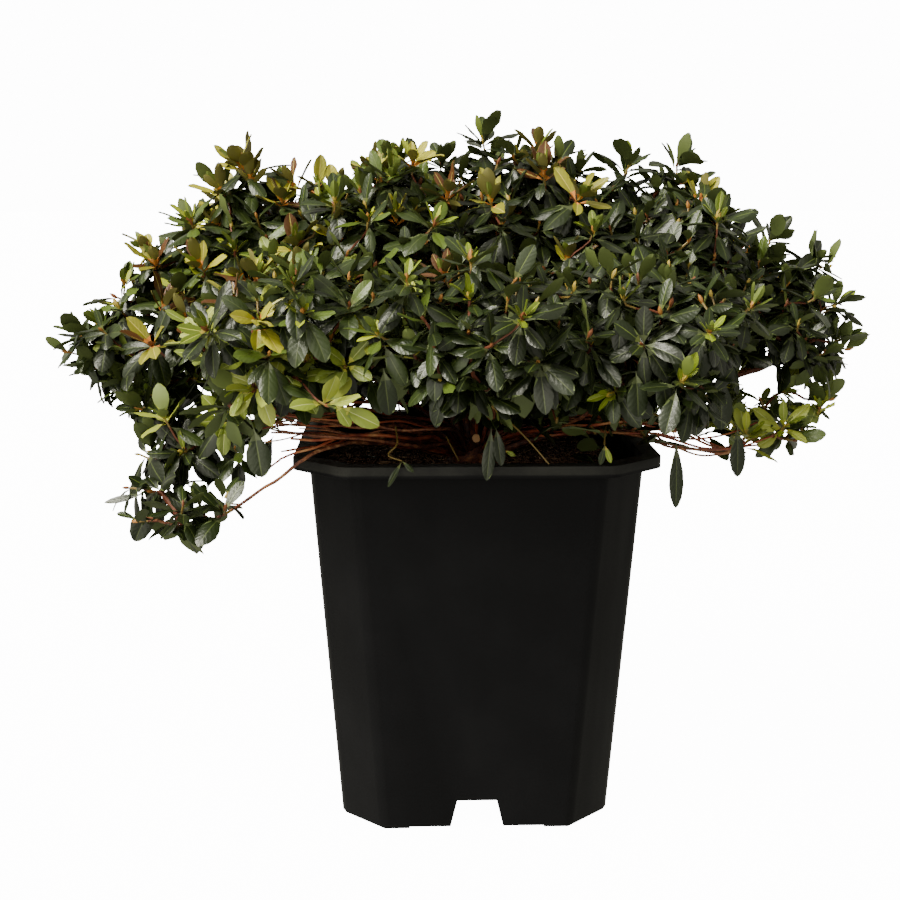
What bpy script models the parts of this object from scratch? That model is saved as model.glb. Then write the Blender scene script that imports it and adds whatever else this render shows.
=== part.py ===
"""A low, wide evergreen azalea growing in a square nursery container.

Metres, +Z up. The origin is the middle of the flat underside of the pot, and -Y is the front.
"""

import math

import bmesh
import bpy
from mathutils import Matrix, Vector, noise
from mathutils.bvhtree import BVHTree

PLANT = "azalea_in_pot"

# Neighbouring solids stay this far apart
GAP = 0.0003

# Pot: outside sizes, half widths across the flats, and the legs of its cut corners
POT_HEIGHT = 0.2015
RIM_HALF = 0.095
RIM_CUT = 0.0266
RIM_BAND = 0.006
BODY_TOP_HALF = 0.0871
BODY_TOP_CUT = 0.0234
BASE_HALF = 0.0726
BASE_CUT = 0.0227
POT_WALL = 0.0016
POT_FLOOR = 0.002
EDGE = 0.0006
CORNER_RADIUS = 0.009
CORNER_STEPS = 3

# Feet under the pot, and the four drainage channels between them
FOOT = 0.0015
FOOT_INSET = 0.0015
FOOT_ALONG_SIDE = 0.014
HUB_FOOT_RADIUS = 0.019
CHANNEL_MOUTH = 0.028
CHANNEL_ROOF = 0.021
CHANNEL_HEIGHT = 0.015
CHANNEL_START = 0.027
DRAIN_RADIUS = 0.005
DRAIN_AT = 0.045

# Compost
SOIL_TOP = 0.188

# Foot of the shrub: one short flared stem with the stump of a sawn one beside it
STEM_RADIUS = 0.0085
STEM_FLARE = 0.0135
STEM_HEIGHT = 0.011
STUMP_FOOT = (0.001, -0.006)
STUMP_HEAD = (0.002, -0.010)
STUMP_TOP = 0.2
STUMP_RADIUS = 0.0042

# It forks at once into stubs, and a bough carries on from the end of each stub.
# A tier says how far out and how high its stubs end, and how its boughs set out from there:
# the share of the way along, and of the rise, that comes first.
TRAILING = {"reach": 0.042, "height": 0.2005, "along": 0.55, "rise": 0.65}
LOW = {"reach": 0.034, "height": 0.2055, "along": 0.55, "rise": 0.07}
HIGH = {"reach": 0.021, "height": 0.220, "along": 0.5, "rise": 0.1}
UPRIGHT = {"reach": 0.010, "height": 0.230, "along": 0.3, "rise": 0.6}
STUB_START = 0.0035
STUB_STAGGER = 0.0013
STUB_ROOT = 0.0039
STUB_STEPS = 4
STRAIGHT_END = 0.002
BOUGH_ROOT = 0.0031
BOUGH_TIP = 0.0017
BOUGH_STEPS = 6
FINE_STEPS = 200
SOCKET_DEPTH = 0.007

# Foliage: each mass by its middle, its half sizes, and the tier of its bough.
# Together they make a crown 441 mm wide and 362 mm deep that reaches 372 mm above the floor.
MASSES = {
    "leaves_top_left": ((-0.116, 0.016, 0.302), (0.046, 0.064, 0.040), HIGH),
    "leaves_top_mid_left": ((-0.049, -0.002, 0.312), (0.043, 0.064, 0.041), UPRIGHT),
    "leaves_top_mid_right": ((0.027, 0.010, 0.314), (0.046, 0.068, 0.042), UPRIGHT),
    "leaves_top_right": ((0.107, -0.004, 0.303), (0.048, 0.064, 0.042), HIGH),
    "leaves_front_left": ((-0.090, -0.090, 0.262), (0.060, 0.052, 0.044), LOW),
    "leaves_front": ((-0.004, -0.114, 0.268), (0.050, 0.054, 0.042), HIGH),
    "leaves_front_right": ((0.082, -0.098, 0.263), (0.056, 0.054, 0.044), LOW),
    "leaves_back_left": ((-0.078, 0.112, 0.264), (0.056, 0.058, 0.044), LOW),
    "leaves_back": ((0.012, 0.128, 0.274), (0.048, 0.052, 0.044), HIGH),
    "leaves_back_right": ((0.096, 0.104, 0.264), (0.058, 0.056, 0.044), LOW),
    "leaves_left": ((-0.167, 0.004, 0.259), (0.041, 0.062, 0.037), LOW),
    "leaves_right": ((0.162, 0.002, 0.260), (0.042, 0.066, 0.042), LOW),
    "leaves_low_left": ((-0.138, -0.046, 0.213), (0.049, 0.046, 0.020), TRAILING),
    "leaves_low_right": ((0.152, -0.024, 0.211), (0.046, 0.042, 0.016), TRAILING),
    "leaves_droop_left": ((-0.143, -0.087, 0.183), (0.034, 0.030, 0.019), None),
}
BALL_LEVEL = 3
PAD_LEVEL = 2
PAD_HALF_HEIGHT = 0.025
FULLNESS = 2.4
LUMP_SIZE = 1.9
LUMP_HEIGHT = 0.16
KNOB_SIZE = 5.3
KNOB_HEIGHT = 0.3
UNDERSIDE = 0.9

# Leading shoots that stand out of the crown, by the mass that carries each
LEADERS = {
    "leaves_top_left": ((-0.127, 0.000, 0.357), (-0.093, -0.004, 0.351)),
    "leaves_top_mid_left": ((-0.041, 0.000, 0.365), (-0.058, -0.050, 0.344)),
    "leaves_top_mid_right": ((0.004, 0.004, 0.372), (0.040, 0.000, 0.368), (0.065, 0.0, 0.354)),
    "leaves_top_right": ((0.094, 0.000, 0.357), (0.121, 0.002, 0.358), (0.144, 0.0, 0.326)),
    "leaves_left": ((-0.227, -0.024, 0.258), (-0.187, 0.000, 0.312), (-0.162, 0.0, 0.319)),
    "leaves_right": ((0.211, 0.000, 0.278), (0.197, 0.004, 0.302), (0.173, 0.000, 0.314)),
    "leaves_low_left": ((-0.202, -0.030, 0.222), (-0.168, -0.054, 0.193)),
    "leaves_low_right": ((0.201, -0.030, 0.222), (0.138, -0.050, 0.188)),
    "leaves_droop_left": ((-0.185, -0.082, 0.186), (-0.172, -0.084, 0.163), (-0.140, -0.084, 0.155)),
}
NEIGHBOUR_LIFT = 0.45

# The arm that hangs over the rim at the left front, split where it bends down
DROOP_STUB = (-0.030, -0.017, 0.2030)
DROOP_BEND = (-0.091, -0.079, 0.2075)
DROOP_END = (-0.150, -0.087, 0.181)
DROOP_ARCH = 0.004
DROOP_RADIUS = 0.0022


def remove_default_scene():
    for thing in list(bpy.data.objects):
        bpy.data.objects.remove(thing, do_unlink=True)


def new_collection(name):
    collection = bpy.data.collections.new(name)
    bpy.context.scene.collection.children.link(collection)
    return collection


def paint(name, colour, roughness):
    material = bpy.data.materials.new(name)
    material.use_nodes = True
    shader = material.node_tree.nodes["Principled BSDF"]
    shader.inputs["Base Color"].default_value = (*colour, 1.0)
    shader.inputs["Roughness"].default_value = roughness
    shader.inputs["Metallic"].default_value = 0.0
    return material


def object_from_bmesh(bm, name, collection, material=None):
    bmesh.ops.recalc_face_normals(bm, faces=bm.faces)
    mesh = bpy.data.meshes.new(name)
    bm.to_mesh(mesh)
    bm.free()
    if material:
        mesh.materials.append(material)
    thing = bpy.data.objects.new(name, mesh)
    collection.objects.link(thing)
    return thing


def as_cutter(thing):
    thing.hide_render = True
    thing.display_type = "WIRE"
    return thing


def combine(thing, other, operation):
    modifier = thing.modifiers.new(f"{operation.lower()} {other.name}", "BOOLEAN")
    modifier.operation = operation
    modifier.object = other
    modifier.solver = "EXACT"


# Pot and compost


def cut_square(half, cut, radius, z):
    """The points of a square with cut corners, every bend of it rounded."""
    bends = []
    for quarter in range(4):
        turn = Matrix.Rotation(math.radians(90 * quarter), 3, "Z")
        bends.append(turn @ Vector((half, half - cut, 0)))
        bends.append(turn @ Vector((half - cut, half, 0)))
    setback = radius * math.tan(math.radians(22.5))
    points = []
    for k, bend in enumerate(bends):
        back = (bends[k - 1] - bend).normalized()
        ahead = (bends[(k + 1) % len(bends)] - bend).normalized()
        inward = (back + ahead).normalized()
        centre = bend + inward * radius / math.cos(math.radians(22.5))
        start = bend + back * setback - centre
        for step in range(CORNER_STEPS + 1):
            turn = Matrix.Rotation(math.radians(45 * step / CORNER_STEPS), 3, "Z")
            points.append(centre + turn @ start + Vector((0, 0, z)))
    return points


def inset_square(half, cut, inset, z):
    """The same outline, set in evenly by inset."""
    return cut_square(half - inset, cut - inset * (2 - math.sqrt(2)), CORNER_RADIUS - inset, z)


def loft(rings, name, collection, material=None):
    """A closed skin over rings of equal count. No primitive or modifier joins unlike outlines."""
    bm = bmesh.new()
    loops = [[bm.verts.new(point) for point in ring] for ring in rings]
    count = len(loops[0])
    for lower, upper in zip(loops, loops[1:]):
        for k in range(count):
            after = (k + 1) % count
            bm.faces.new((lower[k], lower[after], upper[after], upper[k]))
    bm.faces.new(loops[0])
    bm.faces.new(loops[-1])
    return object_from_bmesh(bm, name, collection, material)


def body_at(z):
    """Half width and corner cut of the pot's outside at height z."""
    t = (z - FOOT) / (POT_HEIGHT - FOOT)
    half = BASE_HALF + (BODY_TOP_HALF - BASE_HALF) * t
    cut = BASE_CUT + (BODY_TOP_CUT - BASE_CUT) * t
    return half, cut


def pot_shell(collection, material):
    flange = POT_HEIGHT - POT_WALL
    skirt = POT_HEIGHT - RIM_BAND
    floor = FOOT + POT_FLOOR
    rings = [
        inset_square(*body_at(FOOT), EDGE, FOOT),
        inset_square(*body_at(FOOT + EDGE), 0, FOOT + EDGE),
        inset_square(*body_at(flange), 0, flange),
        inset_square(RIM_HALF, RIM_CUT, POT_WALL, flange),
        inset_square(RIM_HALF, RIM_CUT, POT_WALL, skirt),
        inset_square(RIM_HALF, RIM_CUT, EDGE / 2, skirt),
        inset_square(RIM_HALF, RIM_CUT, 0, skirt + EDGE),
        inset_square(RIM_HALF, RIM_CUT, 0, POT_HEIGHT - EDGE),
        inset_square(RIM_HALF, RIM_CUT, EDGE, POT_HEIGHT),
        inset_square(*body_at(POT_HEIGHT), POT_WALL - EDGE, POT_HEIGHT),
        inset_square(*body_at(POT_HEIGHT - EDGE), POT_WALL, POT_HEIGHT - EDGE),
        inset_square(*body_at(floor), POT_WALL, floor),
    ]
    return loft(rings, "pot", collection, material)


def channel_prisms(name, collection, grow, start, low, reach):
    """One sloping-sided prism along each of the four channels, from start out past the wall."""
    top = FOOT + CHANNEL_HEIGHT + grow
    slope = (CHANNEL_MOUTH - CHANNEL_ROOF) / 2 / CHANNEL_HEIGHT
    half_top = CHANNEL_ROOF / 2 + grow
    half_low = half_top + slope * (top - low)
    bm = bmesh.new()
    for quarter in range(4):
        turn = Matrix.Rotation(math.radians(90 * quarter), 4, "Z")
        made = bmesh.ops.create_cube(bm, size=1.0)["verts"]
        for vert in made:
            high = vert.co.z > 0
            half = half_top if high else half_low
            z = top if high else low
            x = start if vert.co.x < 0 else body_at(z)[0] + reach
            vert.co = Vector((x, half if vert.co.y > 0 else -half, z))
        bmesh.ops.transform(bm, matrix=turn, verts=made)
    return as_cutter(object_from_bmesh(bm, name, collection))


def drain_holes(collection):
    bm = bmesh.new()
    for quarter in range(4):
        turn = Matrix.Rotation(math.radians(90 * quarter), 4, "Z")
        place = Matrix.Translation((DRAIN_AT, 0, FOOT + CHANNEL_HEIGHT))
        bmesh.ops.create_cone(
            bm,
            cap_ends=True,
            segments=12,
            radius1=DRAIN_RADIUS,
            radius2=DRAIN_RADIUS,
            depth=POT_WALL * 4,
            matrix=turn @ place,
        )
    return as_cutter(object_from_bmesh(bm, "drain_holes", collection))


def feet(collection):
    """A flat foot in each corner, shaped like the corner, and a round one in the middle."""
    half, cut = body_at(FOOT)
    outer = half - FOOT_INSET
    trim = cut - FOOT_INSET * (2 - math.sqrt(2))
    inner = half - cut - FOOT_ALONG_SIDE
    corner = ((outer, inner), (outer, outer - trim), (outer - trim, outer), (inner, outer))
    top = FOOT + POT_FLOOR / 2
    bm = bmesh.new()
    for quarter in range(4):
        turn = Matrix.Rotation(math.radians(90 * quarter), 4, "Z")
        base = bm.faces.new([bm.verts.new((x, y, 0)) for x, y in corner])
        grown = bmesh.ops.extrude_face_region(bm, geom=[base])["geom"]
        raised = [g for g in grown if isinstance(g, bmesh.types.BMVert)]
        bmesh.ops.translate(bm, verts=raised, vec=(0, 0, top))
        bmesh.ops.transform(bm, matrix=turn, verts=raised + list(base.verts))
    bmesh.ops.create_cone(
        bm,
        cap_ends=True,
        segments=24,
        radius1=HUB_FOOT_RADIUS,
        radius2=HUB_FOOT_RADIUS,
        depth=top,
        matrix=Matrix.Translation((0, 0, top / 2)),
    )
    return as_cutter(object_from_bmesh(bm, "feet", collection))


def build_pot(parts, cutters):
    pot = pot_shell(parts, paint("black moulded plastic", (0.012, 0.012, 0.013), 0.42))
    housing_low = FOOT + POT_FLOOR / 2
    start = CHANNEL_START - POT_WALL
    housing = channel_prisms("channel_housing", cutters, POT_WALL, start, housing_low, -POT_WALL / 2)
    channel = channel_prisms("channel_hollow", cutters, 0, CHANNEL_START, -FOOT, POT_WALL * 2)
    combine(pot, housing, "UNION")
    combine(pot, channel, "DIFFERENCE")
    combine(pot, drain_holes(cutters), "DIFFERENCE")
    combine(pot, feet(cutters), "UNION")
    return pot


def build_soil(parts, cutters):
    bottom = FOOT + POT_FLOOR + GAP
    inset = POT_WALL + GAP
    rings = [inset_square(*body_at(z), inset, z) for z in (bottom, SOIL_TOP)]
    soil = loft(rings, "soil", parts, paint("moist compost", (0.012, 0.008, 0.006), 0.95))
    start = CHANNEL_START - POT_WALL - GAP
    room = channel_prisms("channel_room", cutters, POT_WALL + GAP, start, 0, POT_WALL)
    combine(soil, room, "DIFFERENCE")
    return soil


# Limbs


def bend_path(start, through, end, steps):
    """Points of a quadratic curve that sets out towards through and arrives at end."""
    points = []
    for step in range(steps):
        t = step / (steps - 1)
        points.append(start * (1 - t) ** 2 + through * 2 * t * (1 - t) + end * t * t)
    return points


def limb(name, points, first_radius, last_radius, collection, material=None, roundness=2):
    """A tapering round limb along points, as a closed mesh with flat ends."""
    curve = bpy.data.curves.new(name, "CURVE")
    curve.dimensions = "3D"
    curve.bevel_depth = 1.0
    curve.bevel_resolution = roundness
    curve.use_fill_caps = True
    spline = curve.splines.new("POLY")
    spline.points.add(len(points) - 1)
    for k, point in enumerate(points):
        spline.points[k].co = (*point, 1.0)
        t = k / (len(points) - 1)
        spline.points[k].radius = first_radius + (last_radius - first_radius) * t
    tube = bpy.data.objects.new(name + "_tube", curve)
    bpy.context.scene.collection.objects.link(tube)
    depsgraph = bpy.context.evaluated_depsgraph_get()
    mesh = bpy.data.meshes.new_from_object(tube.evaluated_get(depsgraph))
    bm = bmesh.new()
    bm.from_mesh(mesh)
    bmesh.ops.remove_doubles(bm, verts=bm.verts, dist=0.00001)
    bpy.data.objects.remove(tube, do_unlink=True)
    bpy.data.meshes.remove(mesh)
    return object_from_bmesh(bm, name, collection, material)


def stub_end(middle, tier):
    """Where the stem stub that serves a mass ends, in the direction of that mass."""
    level = Vector((middle.x, middle.y, 0)).normalized()
    return level * tier["reach"] + Vector((0, 0, tier["height"]))


def entry(points, tree):
    """How many of the finely spaced points lie before the path enters a mass."""
    for k, point in enumerate(points):
        nearest, normal, _, _ = tree.find_nearest(point)
        if (point - nearest).dot(normal) < 0:
            return k
    return len(points) - 1


def bough_path(mass, middle, tier):
    """A bough sets out from its stub, bends, and ends just inside its mass."""
    bm = bmesh.new()
    bm.from_mesh(mass.data)
    tree = BVHTree.FromBMesh(bm)
    bm.free()
    start = stub_end(middle, tier)
    offset = middle - start
    ahead = Vector((offset.x, offset.y, 0)) * tier["along"]
    through = start + ahead + Vector((0, 0, offset.z * tier["rise"]))
    fine = bend_path(start, through, middle, FINE_STEPS)
    spacing = (fine[-1] - fine[0]).length / len(fine)
    last = entry(fine, tree) + round(SOCKET_DEPTH / spacing)
    fine = fine[: min(last, len(fine) - 1) + 1]
    return [fine[round(k * (len(fine) - 1) / (BOUGH_STEPS - 1))] for k in range(BOUGH_STEPS)]


def heading(points):
    return (points[1] - points[0]).normalized()


def start_after_gap(points):
    """The same path, begun one gap further on."""
    return [points[0] + heading(points) * GAP] + points[1:]


def arrive_along(points, way):
    """The same path, with a short straight end that faces the limb it meets."""
    return points[:-1] + [points[-1] - way * STRAIGHT_END, points[-1]]


def socket_path(points):
    """The same path, run on by one gap at its end."""
    last = points[-1] + (points[-1] - points[-2]).normalized() * GAP
    return points[:-1] + [last]


def build_stems(stubs, parts, cutters, material):
    """The foot of the shrub: a flared stem and a stump, with a stub for every bough."""
    bottom = SOIL_TOP + GAP
    middle = Vector((0, 0, bottom + STEM_HEIGHT / 2))
    bm = bmesh.new()
    bmesh.ops.create_cone(
        bm,
        cap_ends=True,
        segments=16,
        radius1=STEM_FLARE,
        radius2=STEM_RADIUS,
        depth=STEM_HEIGHT,
        matrix=Matrix.Translation(middle),
    )
    stems = object_from_bmesh(bm, "stems", parts, material)
    stump = [Vector((*STUMP_FOOT, middle.z)), Vector((*STUMP_HEAD, STUMP_TOP))]
    combine(stems, as_cutter(limb("stump", stump, STUMP_RADIUS, STUMP_RADIUS, cutters)), "UNION")
    for k, (end, way) in enumerate(stubs):
        level = Vector((end.x, end.y, 0))
        start = middle + level.normalized() * STUB_START + Vector((0, 0, STUB_STAGGER * (k % 3)))
        through = start + level * 0.5 + Vector((0, 0, (end.z - start.z) * 0.75))
        path = arrive_along(bend_path(start, through, end, STUB_STEPS), way)
        stub = limb(f"stub_{k}", path, STUB_ROOT, BOUGH_ROOT, cutters, roundness=1)
        combine(stems, as_cutter(stub), "UNION")
    return stems


# Foliage


def lumpy(middle, half, seed):
    """An uneven mass: a ball, squared up to fill its place, with slow lumps and quick knobs."""
    bm = bmesh.new()
    level = PAD_LEVEL if half.z < PAD_HALF_HEIGHT else BALL_LEVEL
    bmesh.ops.create_icosphere(bm, subdivisions=level, radius=1.0)
    shift = Vector((seed * 7.3, seed * 3.1, seed * 5.7))
    for vert in bm.verts:
        way = vert.co.normalized()
        rounding = sum(abs(part) ** FULLNESS for part in way) ** (-1 / FULLNESS)
        swell = rounding + LUMP_HEIGHT * noise.noise(way * LUMP_SIZE + shift)
        swell += KNOB_HEIGHT * noise.noise(way * KNOB_SIZE - shift)
        height = half.z * (1 if way.z > 0 else UNDERSIDE)
        vert.co = middle + Vector((way.x * half.x, way.y * half.y, way.z * height)) * swell
    return bm


def pull_leader(bm, middle, half, tip):
    """Draws the nearest part of the mass out to the tip of a leading shoot."""

    def way(point):
        offset = point - middle
        return Vector((offset.x / half.x, offset.y / half.y, offset.z / half.z)).normalized()

    target = way(tip)
    peak = max(bm.verts, key=lambda vert: way(vert.co).dot(target))
    lift = tip - peak.co
    around = [edge.other_vert(peak) for edge in peak.link_edges]
    peak.co = tip
    for vert in around:
        vert.co += lift * NEIGHBOUR_LIFT


def trim_to_neighbours(bm, name):
    """Cuts the mass back to a plane between it and each other mass, less a gap."""
    middle, half, _ = MASSES[name]
    middle, half = Vector(middle), Vector(half)
    for other, (other_middle, other_half, _) in MASSES.items():
        if other == name:
            continue
        way = Vector(other_middle) - middle
        unit = way.normalized()
        own = Vector([unit[k] * half[k] for k in range(3)]).length
        their = Vector([unit[k] * other_half[k] for k in range(3)]).length
        cut = middle + unit * (way.length * own / (own + their) - GAP)
        everything = list(bm.verts) + list(bm.edges) + list(bm.faces)
        bmesh.ops.bisect_plane(
            bm, geom=everything, dist=0.00001, plane_co=cut, plane_no=unit, clear_outer=True
        )
        rim = [edge for edge in bm.edges if edge.is_boundary]
        if rim:
            bmesh.ops.holes_fill(bm, edges=rim, sides=0)


def build_mass(name, seed, parts, material):
    middle, half, _ = MASSES[name]
    middle, half = Vector(middle), Vector(half)
    bm = lumpy(middle, half, seed)
    for tip in LEADERS.get(name, ()):
        pull_leader(bm, middle, half, Vector(tip))
    trim_to_neighbours(bm, name)
    return object_from_bmesh(bm, name, parts, material)


def box_of(thing, margin):
    corners = [vert.co for vert in thing.data.vertices]
    low = Vector([min(c[k] for c in corners) - margin for k in range(3)])
    high = Vector([max(c[k] for c in corners) + margin for k in range(3)])
    return low, high


def boxes_meet(a, b):
    return all(a[0][k] <= b[1][k] and b[0][k] <= a[1][k] for k in range(3))


def build_plant(parts, cutters):
    bark = paint("young bark", (0.19, 0.06, 0.03), 0.8)
    dark_leaf = paint("azalea leaves", (0.022, 0.038, 0.012), 0.45)
    masses = {}
    for seed, name in enumerate(MASSES):
        masses[name] = build_mass(name, seed + 1, parts, dark_leaf)

    paths = {}
    for name, (middle, _, tier) in MASSES.items():
        if tier:
            middle = Vector(middle)
            limb_name = name.replace("leaves", "bough")
            paths[limb_name] = bough_path(masses[name], middle, tier)

    stub, bend, end = Vector(DROOP_STUB), Vector(DROOP_BEND), Vector(DROOP_END)
    down = bend.lerp(end, 0.45) + Vector((0, 0, DROOP_ARCH))
    drooping = bend_path(bend, down, end, BOUGH_STEPS)
    over = stub.lerp(bend, 0.6) + Vector((0, 0, DROOP_ARCH))
    over_rim = arrive_along(bend_path(stub, over, bend, BOUGH_STEPS), heading(drooping))
    paths["bough_over_rim"] = over_rim
    stubs = [(points[0], heading(points)) for points in paths.values()]
    paths["bough_droop_left"] = drooping

    sockets = []
    for limb_name, points in paths.items():
        first, last = BOUGH_ROOT, BOUGH_TIP
        if limb_name == "bough_over_rim":
            last = DROOP_RADIUS
        if limb_name == "bough_droop_left":
            first = DROOP_RADIUS
        limb(limb_name, start_after_gap(points), first, last, parts, bark)
        wide = limb(limb_name + "_room", socket_path(points), first + GAP, last + GAP, cutters)
        sockets.append(as_cutter(wide))
    for mass in masses.values():
        reach = box_of(mass, GAP)
        for socket in sockets:
            if boxes_meet(reach, box_of(socket, 0)):
                combine(mass, socket, "DIFFERENCE")
    build_stems(stubs, parts, cutters, bark)


def build():
    remove_default_scene()
    parts = new_collection(PLANT)
    cutters = new_collection("cutters")
    build_pot(parts, cutters)
    build_soil(parts, cutters)
    build_plant(parts, cutters)


build()
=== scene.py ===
"""The finish of a low, wide evergreen azalea in its square nursery container.

Metres, +Z up. The origin is the middle of the pot's flat underside, and -Y is the front.
"""

import math

import bpy
import numpy as np
from mathutils import Matrix, Quaternion, Vector, noise
from mathutils.bvhtree import BVHTree


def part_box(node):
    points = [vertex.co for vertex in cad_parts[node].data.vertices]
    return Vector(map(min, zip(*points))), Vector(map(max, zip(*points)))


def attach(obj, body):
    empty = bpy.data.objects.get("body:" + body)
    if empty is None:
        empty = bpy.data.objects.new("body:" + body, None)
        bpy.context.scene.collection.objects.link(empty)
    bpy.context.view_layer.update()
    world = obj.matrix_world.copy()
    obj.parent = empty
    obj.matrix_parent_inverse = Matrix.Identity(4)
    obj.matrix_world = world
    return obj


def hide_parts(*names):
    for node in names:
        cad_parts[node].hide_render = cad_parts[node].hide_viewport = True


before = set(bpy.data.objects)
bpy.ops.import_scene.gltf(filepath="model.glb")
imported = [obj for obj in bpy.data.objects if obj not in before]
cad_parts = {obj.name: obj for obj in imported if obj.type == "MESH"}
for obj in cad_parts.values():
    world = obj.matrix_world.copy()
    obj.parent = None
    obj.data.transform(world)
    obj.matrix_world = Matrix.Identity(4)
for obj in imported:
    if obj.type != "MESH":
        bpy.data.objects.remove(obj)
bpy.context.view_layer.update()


# Camera: a short portrait lens on a stand in front of the pot, 14 cm above its rim, that
# looks slightly down.

CAMERA_AT = Vector((-0.0363, -0.7992, 0.3380))
CAMERA_AIM = Vector((-0.0122, 0.0, 0.1929))
CAMERA_LENS_MM = 58.0

camera_data = bpy.data.cameras.new("camera")
camera_data.lens = CAMERA_LENS_MM
camera = bpy.data.objects.new("camera", camera_data)
camera.location = CAMERA_AT
camera.rotation_euler = (CAMERA_AIM - CAMERA_AT).to_track_quat("-Z", "Y").to_euler()
bpy.context.scene.collection.objects.link(camera)
bpy.context.scene.camera = camera


# Pot: a square container with cut corners, injection moulded in thin black polypropylene.
# Its rim turns over and down into a skirt that stands clear of the wall, and four tunnels
# cross its floor and drain it, between low feet in the corners and a round one in the middle.

_, POT_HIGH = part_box("pot")
POT_HEIGHT = POT_HIGH.z
RIM_HALF = POT_HIGH.x
RIM_CUT = 0.0266
RIM_BAND = 0.006
BODY_TOP_HALF = 0.0871
BODY_TOP_CUT = 0.0234
BASE_HALF = 0.0726
BASE_CUT = 0.0227
CORNER_RADIUS = 0.009
WALL = 0.0016
FLOOR = 0.002
FOOT = 0.0015
FOOT_INSET = 0.0015
FOOT_ALONG_SIDE = 0.014
HUB_FOOT_RADIUS = 0.019
TUNNEL_MOUTH = 0.028
TUNNEL_ROOF = 0.021
TUNNEL_HEIGHT = 0.015
TUNNEL_START = 0.027
DRAIN_RADIUS = 0.005
DRAIN_AT = 0.045
MOULD_EDGE = 0.0005
TUNNEL_OVERRUN = 0.01
DOUBLES = 0.000005
# Paler paint on the rim band, part rubbing and part painted highlight, and the heights above the skirt
# where it fades in
RIM_WEAR_AND_HIGHLIGHT = 0.5
RIM_HIGHLIGHT_START = 0.0005
RIM_HIGHLIGHT_END = 0.0020
CUT_SHRINK = 2 - math.sqrt(2)
SHARP = math.radians(30)


def only(thing):
    """Selects this object alone."""
    if bpy.context.object and bpy.context.object.mode != "OBJECT":
        bpy.ops.object.mode_set(mode="OBJECT")
    bpy.ops.object.select_all(action="DESELECT")
    thing.select_set(True)
    bpy.context.view_layer.objects.active = thing


def pick(thing, wanted, kind="VERT"):
    """Goes into edit mode with only the wanted vertices, edges or faces selected."""
    only(thing)
    bpy.ops.object.mode_set(mode="EDIT")
    bpy.ops.mesh.select_mode(type=kind)
    bpy.ops.mesh.select_all(action="DESELECT")
    bpy.ops.object.mode_set(mode="OBJECT")
    mesh = thing.data
    items = {"VERT": mesh.vertices, "EDGE": mesh.edges, "FACE": mesh.polygons}[kind]
    for item in items:
        if wanted(item):
            item.select = True
    bpy.ops.object.mode_set(mode="EDIT")


def tapered_box(name, low, high, low_half, high_half):
    """A box from low to high whose half widths (x, y) change from low_half to high_half."""
    bpy.ops.object.select_all(action="DESELECT")
    bpy.ops.mesh.primitive_cube_add(size=1)
    box = bpy.context.object
    box.name = name
    box.data.transform(Matrix.Diagonal((2 * high_half[0], 2 * high_half[1], high - low, 1)))
    box.data.transform(Matrix.Translation((0, 0, (low + high) / 2)))
    pick(box, lambda v: v.co.z < (low + high) / 2)
    bpy.ops.transform.resize(value=(low_half[0] / high_half[0], low_half[1] / high_half[1], 1))
    bpy.ops.object.mode_set(mode="OBJECT")
    return box


def cut_square(name, low, high, low_size, high_size, radius):
    """A block with cut, rounded corners. A size is (half width across the flats, corner cut)."""
    (low_half, low_cut), (high_half, high_cut) = low_size, high_size
    block = tapered_box(name, low, high, (low_half, low_half), (high_half, high_half))
    spread = ((2 * high_half - high_cut) - (2 * low_half - low_cut)) / (high - low)
    for quarter in range(4):
        turn = Matrix.Rotation(math.radians(90 * quarter), 3, "Z")
        pick(block, lambda v: True)
        bpy.ops.mesh.bisect(
            plane_co=turn @ Vector((low_half, low_half - low_cut, low)),
            plane_no=turn @ Vector((1, 1, -spread)).normalized(),
            use_fill=True,
            clear_outer=True,
        )
    ends = block.data.vertices
    bpy.ops.object.mode_set(mode="OBJECT")
    tall = (high - low) * 0.9
    pick(block, lambda e: abs(ends[e.vertices[0]].co.z - ends[e.vertices[1]].co.z) > tall, "EDGE")
    setback = radius * math.tan(math.radians(22.5))
    bpy.ops.mesh.bevel(offset=setback, offset_type="OFFSET", segments=6, affect="EDGES")
    bpy.ops.object.mode_set(mode="OBJECT")
    return block


def body_at(z, inset=0.0):
    """Half width and corner cut of the pot's side at height z, set in by inset."""
    t = (z - FOOT) / (POT_HEIGHT - FOOT)
    half = BASE_HALF + (BODY_TOP_HALF - BASE_HALF) * t
    cut = BASE_CUT + (BODY_TOP_CUT - BASE_CUT) * t
    return half - inset, cut - inset * CUT_SHRINK


def combine(thing, tool, operation):
    """Unites with, or cuts by, a tool that is then thrown away."""
    only(thing)
    modifier = thing.modifiers.new("combine", "BOOLEAN")
    modifier.operation = operation
    modifier.object = tool
    modifier.solver = "EXACT"
    bpy.ops.object.modifier_apply(modifier=modifier.name)
    bpy.data.objects.remove(tool, do_unlink=True)


def tunnel(quarter, start, grow, low):
    """One drainage tunnel's prism, from start outwards through the wall of one side."""
    slope = (TUNNEL_MOUTH - TUNNEL_ROOF) / 2 / TUNNEL_HEIGHT
    top = FOOT + TUNNEL_HEIGHT + grow
    wide_top = TUNNEL_ROOF / 2 + grow
    wide_low = wide_top + slope * (top - low)
    end = body_at(FOOT)[0] + TUNNEL_OVERRUN
    reach = (end - start) / 2
    prism = tapered_box("tunnel", low, top, (reach, wide_low), (reach, wide_top))
    prism.data.transform(Matrix.Translation((start + reach, 0, 0)))
    prism.data.transform(Matrix.Rotation(math.radians(90 * quarter), 4, "Z"))
    return prism


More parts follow.
